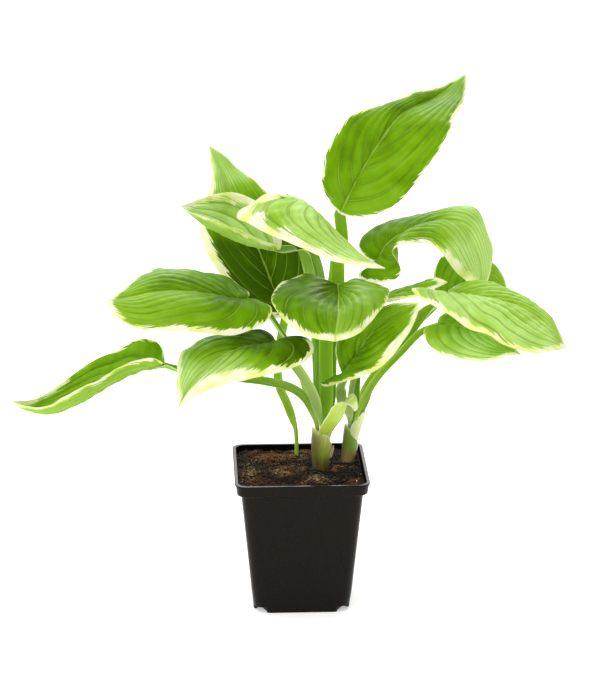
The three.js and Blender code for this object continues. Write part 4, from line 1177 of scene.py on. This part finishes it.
def blade_surface(leaf, u, v):
    """The middle surface of a blade, u from base to tip and v from the left margin at -1 over the midrib
    to the right one at 1. A row joins the midrib at share u of its length to each margin at share u to
    the power lead, by straight lines, and each half is lifted to the upper side by its bulge times the
    root of sin(pi u) times 4 |v| (1 - |v|). Gives the points, the way that the upper side faces, each
    row's reach from midrib to margin, the distance from the margin, and the midrib's length."""
    midrib = np.array(leaf["midrib"], float)
    middle, length = along(midrib, u)
    tangent = unit(np.gradient(middle, u, axis=0))
    across, lifted, slant = [], [], []
    for side, margin in enumerate((leaf["left"], leaf["right"])):
        edge, _ = along([midrib[0], *margin, midrib[-1]], u ** leaf.get("lead", DEFAULT_LEAD)[side])
        way = edge - middle
        upper = unit(np.cross(way, tangent) if side else np.cross(tangent, way))
        lift = passing(leaf["bulge"][side], u) * np.sqrt(np.sin(np.pi * u))
        across.append(way)
        lifted.append(upper * lift[:, None])
        slant.append(np.linalg.norm(np.cross(unit(way), unit(np.gradient(edge, u, axis=0))), axis=-1))
    out = np.abs(v)[None, :, None]
    side = (v > 0).astype(int)
    way = np.stack(across, axis=1)[:, side]
    points = middle[:, None] + out * way + 4 * out * (1 - out) * np.stack(lifted, axis=1)[:, side]
    facing = unit(np.cross(np.gradient(points, v, axis=1), np.gradient(points, u, axis=0)))
    first, last = np.searchsorted(u, FACING_KEPT)
    facing[:first] = facing[first]
    facing[last:] = facing[last - 1]
    reach = np.linalg.norm(way, axis=-1)
    from_margin = (1 - out[..., 0]) * reach * np.clip(np.stack(slant, axis=1)[:, side], LEAST_SLANT, 1)
    return points, facing, reach, from_margin, length


def vein_field(leaf, u, v):
    """Where each point lies among the veins of its half, from 0 at the midrib to 1 at the margin. Arching
    veins lie at |v| plus (1 - |v|) h, where h sinks from 1 at the base to 0 where the last vein leaves the
    midrib, as a power. Fanned veins lie at |v| / (|v| + u FAN). The leaf's fan says how much of the second
    there is. Gives how fast the place changes with |v| too."""
    out = np.abs(v)[None]
    held = np.clip(1 - u / VEINS_LEAVE, 0, 1)[:, None] ** VEIN_POWER
    fan = leaf.get("fan", 0)
    fanned = out / (out + FAN * u[:, None])
    spread = (1 - fan) * (1 - held) + fan * (1 - fanned)
    return (1 - fan) * (out + (1 - out) * held) + fan * fanned, spread


def blade_relief(leaf, u, v, points, reach, length, rng):
    """How far the upper side stands off the middle surface: ribs of tissue that rise between the veins,
    as the sine of the vein place to a power, puckered along their length, plus a margin that waves by
    three sines, broad swells, and the channel over the midrib. All of it fades at both ends."""
    out = np.abs(v)[None]
    field, spread = vein_field(leaf, u, v)
    across = leaf["veins"] * field
    ends = (smoothstep(0, RELIEF_ENDS[0], u) * (1 - smoothstep(RELIEF_ENDS[1], 1, u)))[:, None]
    rise = np.minimum(RIB_RISE * reach / leaf["veins"] / np.maximum(spread, LEAST_SPREAD), RIB_MOST) * ends
    rise = rise * leaf.get("quilt", 1) * (1 - RIB_FADE[1] * smoothstep(RIB_FADE[0], 1, out))
    hump = np.abs(np.sin(np.pi * across)) ** RIB_POWER
    rib = np.minimum(across.astype(int), leaf["veins"] - 1) + leaf["veins"] * (v > 0)[None]
    phase = rng.uniform(0, 2 * np.pi, 2 * leaf["veins"])[rib]
    run = u[:, None] * length
    pucker = 1 + PUCKER_SHARE * np.sin(2 * np.pi * run / PUCKER_LENGTH + phase)
    relief = rise * (hump * pucker - RIB_SUNK)
    wave = 0
    for wavelength, share in RUFFLE_WAVES:
        start = rng.uniform(0, 2 * np.pi, 2)[(v > 0).astype(int)][None]
        wave = wave + share * np.sin(2 * np.pi * run / wavelength + start)
    relief = relief + leaf["ruffle"] * wave * out**3 * np.sqrt(np.sin(np.pi * u))[:, None]
    relief = relief + sum(share * noise(points, size, leaf["seed"]) for size, share in SWELLS) * ends
    channel = MIDRIB_DEPTH * np.exp(-((out * reach / MIDRIB_WIDTH) ** 2)) * np.sqrt(1 - u)[:, None]
    return relief - channel * ends


def make_blade(name, leaf):
    """A blade: the middle surface with its relief, half its thickness to each side, and a ridge under the
    midrib. The relief shows on both sides, so a vein is a groove above and a fine ridge below."""
    rng = np.random.default_rng(leaf["seed"])
    share = np.linspace(0, 1, BLADE_ROWS)
    u = BLADE_START + (BLADE_END - BLADE_START) * (share + smoothstep(0, 1, share)) / 2
    v = np.linspace(-1, 1, 2 * leaf["veins"] * COLUMNS_PER_VEIN + 1)
    points, facing, reach, from_margin, length = blade_surface(leaf, u, v)
    relief = blade_relief(leaf, u, v, points, reach, length, rng)
    inside = smoothstep(0, MARGIN_FADE, from_margin)
    thickness = MARGIN_THICKNESS + (BLADE_THICKNESS - MARGIN_THICKNESS) * inside
    from_midrib = np.abs(v)[None] * reach
    ridge = MIDRIB_RIDGE * np.exp(-((from_midrib / MIDRIB_WIDTH) ** 2))
    ridge = ridge * ((1 - u) ** RIDGE_POWER * smoothstep(0, RIDGE_STARTS, u))[:, None]
    top = points + facing * (relief + thickness / 2)[..., None]
    bottom = points + facing * (relief - thickness / 2 - ridge)[..., None]
    rings = np.concatenate([top, bottom[:, ::-1]], axis=1)
    # The leaf's light is painted light and shade, carried to the material beside the cream widths
    cream, light = (
        np.where((v > 0)[None], passing(leaf[key][1], u)[:, None], passing(leaf[key][0], u)[:, None])
        for key in ("cream", "light")
    )
    field, _ = vein_field(leaf, u, v)
    lie = np.stack(np.broadcast_arrays(u[:, None] * length, np.sign(v)[None] * field * reach.max()), axis=-1)
    below = np.concatenate([np.zeros_like(reach), np.ones_like(reach)], axis=1)
    values = {
        "green_depth": both_sides(from_margin - cream),
        "light": both_sides(light),
        "vein_place": both_sides(leaf["veins"] * field),
        "from_midrib": both_sides(from_midrib),
        "below": with_poles(below),
    }
    skin, faces = closed_rings(rings)
    put_piece("blade_" + name, skin, faces, blade_material(name, leaf), ["leaf_" + name], values,
              both_sides(lie))


def make_stalk(name, leaf):
    """A stalk: a channelled section carried from the crown to the blade, and on under the blade's midrib
    until it is as thin as the midrib's ridge. The section is (w cos a, t s + rim c t cos^2 a), where w and
    t are half its width and thickness, c is how channelled it is, and s is sin a below and sinks from
    sin a to less than nothing above as c grows."""
    shoot = SHOOTS[leaf["shoot"]]
    inside = np.linspace(ROOT_HEIGHT, shoot["neck"][2], 3)
    stations = np.vstack([slot_point(leaf, inside), leaf["stalk"], [leaf["midrib"][0]]])
    at = np.linspace(0, 1, STALK_ROWS)
    line = spline(stations, at)
    under = np.linspace(0, UNDER_BLADE, UNDER_ROWS)
    under[0] = BLADE_START
    midline, facing, _, _, _ = blade_surface(leaf, np.append(under, UNDER_PAST), np.array(UNDER_STRIP))
    midline, facing = midline[1:-1, 1], facing[-1, 1]
    grown = smoothstep(GROWTH_FROM, GROWTH_FROM + GROWTH_STATIONS, at * (len(stations) - 1))
    rooted = shoot["stalk_radius"] * taper(shoot, line[:, 2])
    fading = 1 - smoothstep(0, UNDER_BLADE, under[1:])
    width, thick = (
        np.concatenate([rooted + (size - rooted) * grown, end + (size - end) * fading])[:, None]
        for size, end in zip(leaf["stalk_size"], STALK_END)
    )
    drop = np.concatenate([0 * at, (1 - fading) * STALK_DROP])
    full = np.ones(len(under) - 1)
    channel = np.concatenate([grown, full])[:, None]
    line = np.vstack([line, midline])
    turning = smoothstep(STALK_TURNS, 1, np.concatenate([at, full]))[:, None]
    if "channel" in leaf:
        azimuth = np.radians(leaf["channel"])
        upper = np.array([np.sin(azimuth), -np.cos(azimuth), 0])
    else:
        outward = np.subtract(leaf["midrib"][0], shoot["neck"]) * (1, 1, 0)
        upper = unit(np.array([0, 0, 1]) - unit(outward))
    upper = unit(upper * (1 - turning) + facing * turning)
    tangent = unit(np.gradient(line, axis=0))
    upper = unit(upper - (upper * tangent).sum(axis=1, keepdims=True) * tangent)
    side = np.cross(tangent, upper)
    line = line - upper * drop[:, None]
    angle = np.linspace(0, 2 * np.pi, STALK_SIDES, endpoint=False)[None]
    above = np.maximum(np.sin(angle), 0) * (1 - channel * (1 + CHANNEL_DEPTH))
    rims = CHANNEL_RIM * channel * np.cos(angle) ** 2
    level = thick * (np.minimum(np.sin(angle), 0) + above + rims)
    sideways = width * np.cos(angle)
    rings = line[:, None] + side[:, None] * sideways[..., None] + upper[:, None] * level[..., None]
    run = np.concatenate([[0], np.cumsum(np.linalg.norm(np.diff(line, axis=0), axis=1))])[:, None]
    values = {
        "towards_rim": with_poles(np.abs(np.cos(angle)) * np.minimum(1, channel + RIM_SHOWS)),
        "in_channel": with_poles(np.maximum(np.sin(angle), 0) * channel),
    }
    lie = with_poles(np.stack(np.broadcast_arrays(run, sideways), axis=-1))
    points, faces = closed_rings(rings)
    material = stalk_material(name, *STALK_COLOURS.get(name, USUAL_STALK))
    put_piece("leaf_stalk_" + name, points, faces, material, ["stalk_" + name], values, lie)


def make_sheath(name, sheath):
    """A sheath: a sheet that stands off a shoot's axis as far as its profile says, over an arc that
    narrows to its tip, with fine ribs along it."""
    shoot = SHOOTS[sheath["shoot"]]
    at = np.linspace(0, 1, SHEATH_ROWS)
    v = np.linspace(-1, 1, SHEATH_COLUMNS)
    line = spline(sheath["profile"], at)
    slope = unit(np.gradient(line, axis=0))
    half_turn = np.radians(passing(sheath["wrap"], at))[:, None]
    middle = np.radians(sheath["azimuth"] + sheath.get("turn", 0) * at)[:, None]
    angle = middle + half_turn * v[None]
    arc = half_turn * v[None] * line[:, :1]
    place = np.stack([arc, at[:, None] * SHEATH_DENT_RUN + 0 * arc], axis=-1)
    rib = SHEATH_RIB * np.abs(np.sin(np.pi * arc / SHEATH_RIB_WIDTH))
    rib = rib + SHEATH_DENT * noise(place, SHEATH_DENT_SIZE, sheath["seed"])
    way = np.stack([np.sin(angle), -np.cos(angle), 0 * angle], axis=-1)
    sides = []
    for off in (SHEATH_THICKNESS / 2, -SHEATH_THICKNESS / 2):
        height = line[:, 1:] - (off + rib) * slope[:, :1]
        reach = line[:, :1] * taper(shoot, height) + (off + rib) * slope[:, 1:]
        sides.append(axis_point(shoot, height) + reach[..., None] * way)
    rings = np.concatenate([sides[0], sides[1][:, ::-1]], axis=1)
    run = np.concatenate([[0], np.cumsum(np.linalg.norm(np.diff(line, axis=0), axis=1))])[:, None]
    to_side = (1 - np.abs(v))[None] * half_turn * line[:, :1]
    rim = np.minimum(to_side, run[-1] - run)
    level = np.broadcast_to(run / run[-1], to_side.shape)
    lie = both_sides(np.stack(np.broadcast_arrays(run, arc), axis=-1))
    edge = np.radians(sheath.get("stained", -180))
    stained = 1 - smoothstep(edge - STAIN_EDGE, edge + STAIN_EDGE, angle)
    stained = stained * (1 - smoothstep(STAIN_ENDS, 1, level))
    points, faces = closed_rings(rings)
    material = sheath_material(name.replace("_", " "), *sheath["colours"])
    values = {"height": both_sides(level), "rim": both_sides(rim), "stained": both_sides(stained)}
    put_piece(name + "_skin", points, faces, material, [name], values, lie)


def make_scale():
    """The dried scale: a thin leaf-shaped flake. With t from foot to tip and v from side to side, it is
    (1 - t^2.2)^0.7 (0.75 + 0.6 t (1 - t)) of its width, and it is bent by dish x^2 + curl t^3 + ripple
    sin(9 t + 4 v) |v|. Its thickness sinks by 0.6 |v|^3 towards the sides."""
    width, thickness, height = SCALE_SIZE
    t = np.linspace(0.02, 0.99, SCALE_ROWS)[:, None]
    v = np.linspace(-1, 1, SCALE_COLUMNS)[None]
    x = width / 2 * (1 - t**2.2) ** 0.7 * (0.75 + 0.6 * t * (1 - t)) * v
    y = SCALE_DISH * x**2 + SCALE_CURL * t**3 + SCALE_RIPPLE * np.sin(9 * t + 4 * v) * np.abs(v)
    z = height * (t - 0.5) + 0 * v
    skin = thickness / 2 * (1 - 0.6 * np.abs(v) ** 3)
    front, back = (np.stack([x, y + off, z], axis=-1) for off in (-skin, skin))
    rings = turned(np.concatenate([front, back[:, ::-1]], axis=1), SCALE_LEAN) + SCALE_PLACE
    lie = both_sides(np.stack([z, x], axis=-1))
    points, faces = closed_rings(rings)
    put_piece("dried_scale_flake", points, faces, scale_material(), ["dried_scale"], lie=lie)


# The stage


def add_camera():
    """The camera, at the picture's viewing angle."""
    azimuth, elevation = np.radians((CAMERA_AZIMUTH, CAMERA_ELEVATION))
    level = np.cos(elevation)
    back = Vector((np.sin(azimuth) * level, -np.cos(azimuth) * level, np.sin(elevation)))
    data = bpy.data.cameras.new("camera")
    data.lens = CAMERA_LENS
    data.sensor_width = SENSOR_WIDTH
    camera = bpy.data.objects.new("camera", data)
    camera.location = (Vector(CAMERA_TARGET) + back * CAMERA_DISTANCE) * MM
    camera.rotation_euler = back.to_track_quat("Z", "Y").to_euler()
    bpy.context.scene.collection.objects.link(camera)
    bpy.context.scene.camera = camera


def add_floor():
    """A plain pale floor, matt, lit a little from behind and far wider than the view."""
    material, tree = blank_material("Backlit matt white acrylic")
    place = add(tree, "TexCoord", {}, {}, "Object")
    tooth = add(tree, "TexNoise", {}, {"Vector": place, "Scale": 1 / (2 * MM)})
    finish_surface(tree, "#f7f7f7", 0.9, (tooth, 0.05, 0.1 * MM), {
        "Specular IOR Level": 0.1, "Emission Color": linear("#ffffff"), "Emission Strength": 0.4,
    })
    mesh = bpy.data.meshes.new("floor")
    corners = [(x * FLOOR_HALF, y * FLOOR_HALF, 0) for x, y in ((-1, -1), (1, -1), (1, 1), (-1, 1))]
    mesh.from_pydata(corners, [], [(0, 1, 2, 3)])
    mesh.materials.append(material)
    floor = bpy.data.objects.new("floor", mesh)
    bpy.context.scene.collection.objects.link(floor)


def add_light(name, place, strength, spread):
    """A broad soft light: a sun that many degrees wide, which shines from that place to the plant."""
    data = bpy.data.lights.new(name, "SUN")
    data.energy = strength
    data.angle = np.radians(spread)
    light = bpy.data.objects.new(name, data)
    light.location = place
    light.rotation_euler = Vector(place).to_track_quat("Z", "Y").to_euler()
    bpy.context.scene.collection.objects.link(light)


def add_daylight():
    """An even white surround, a wide light overhead, one behind and one from the left front."""
    world = bpy.data.worlds.new("studio")
    world.use_nodes = True
    surround = world.node_tree.nodes["Background"]
    surround.inputs["Color"].default_value = (1, 1, 1, 1)
    surround.inputs["Strength"].default_value = SURROUND_STRENGTH
    bpy.context.scene.world = world
    bpy.context.scene.view_settings.view_transform = "Standard"
    for light in LIGHTS:
        add_light(*light)


add_camera()
add_floor()
add_daylight()
make_pot()
make_mix()
make_scraps()
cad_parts["crown"].data.materials.clear()
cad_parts["crown"].data.materials.append(crown_material())
for leaf_name, leaf_shape in LEAVES.items():
    make_stalk(leaf_name, leaf_shape)
    make_blade(leaf_name, leaf_shape)
for sheath_name, sheath_shape in SHEATHS.items():
    make_sheath(sheath_name, sheath_shape)
make_scale()
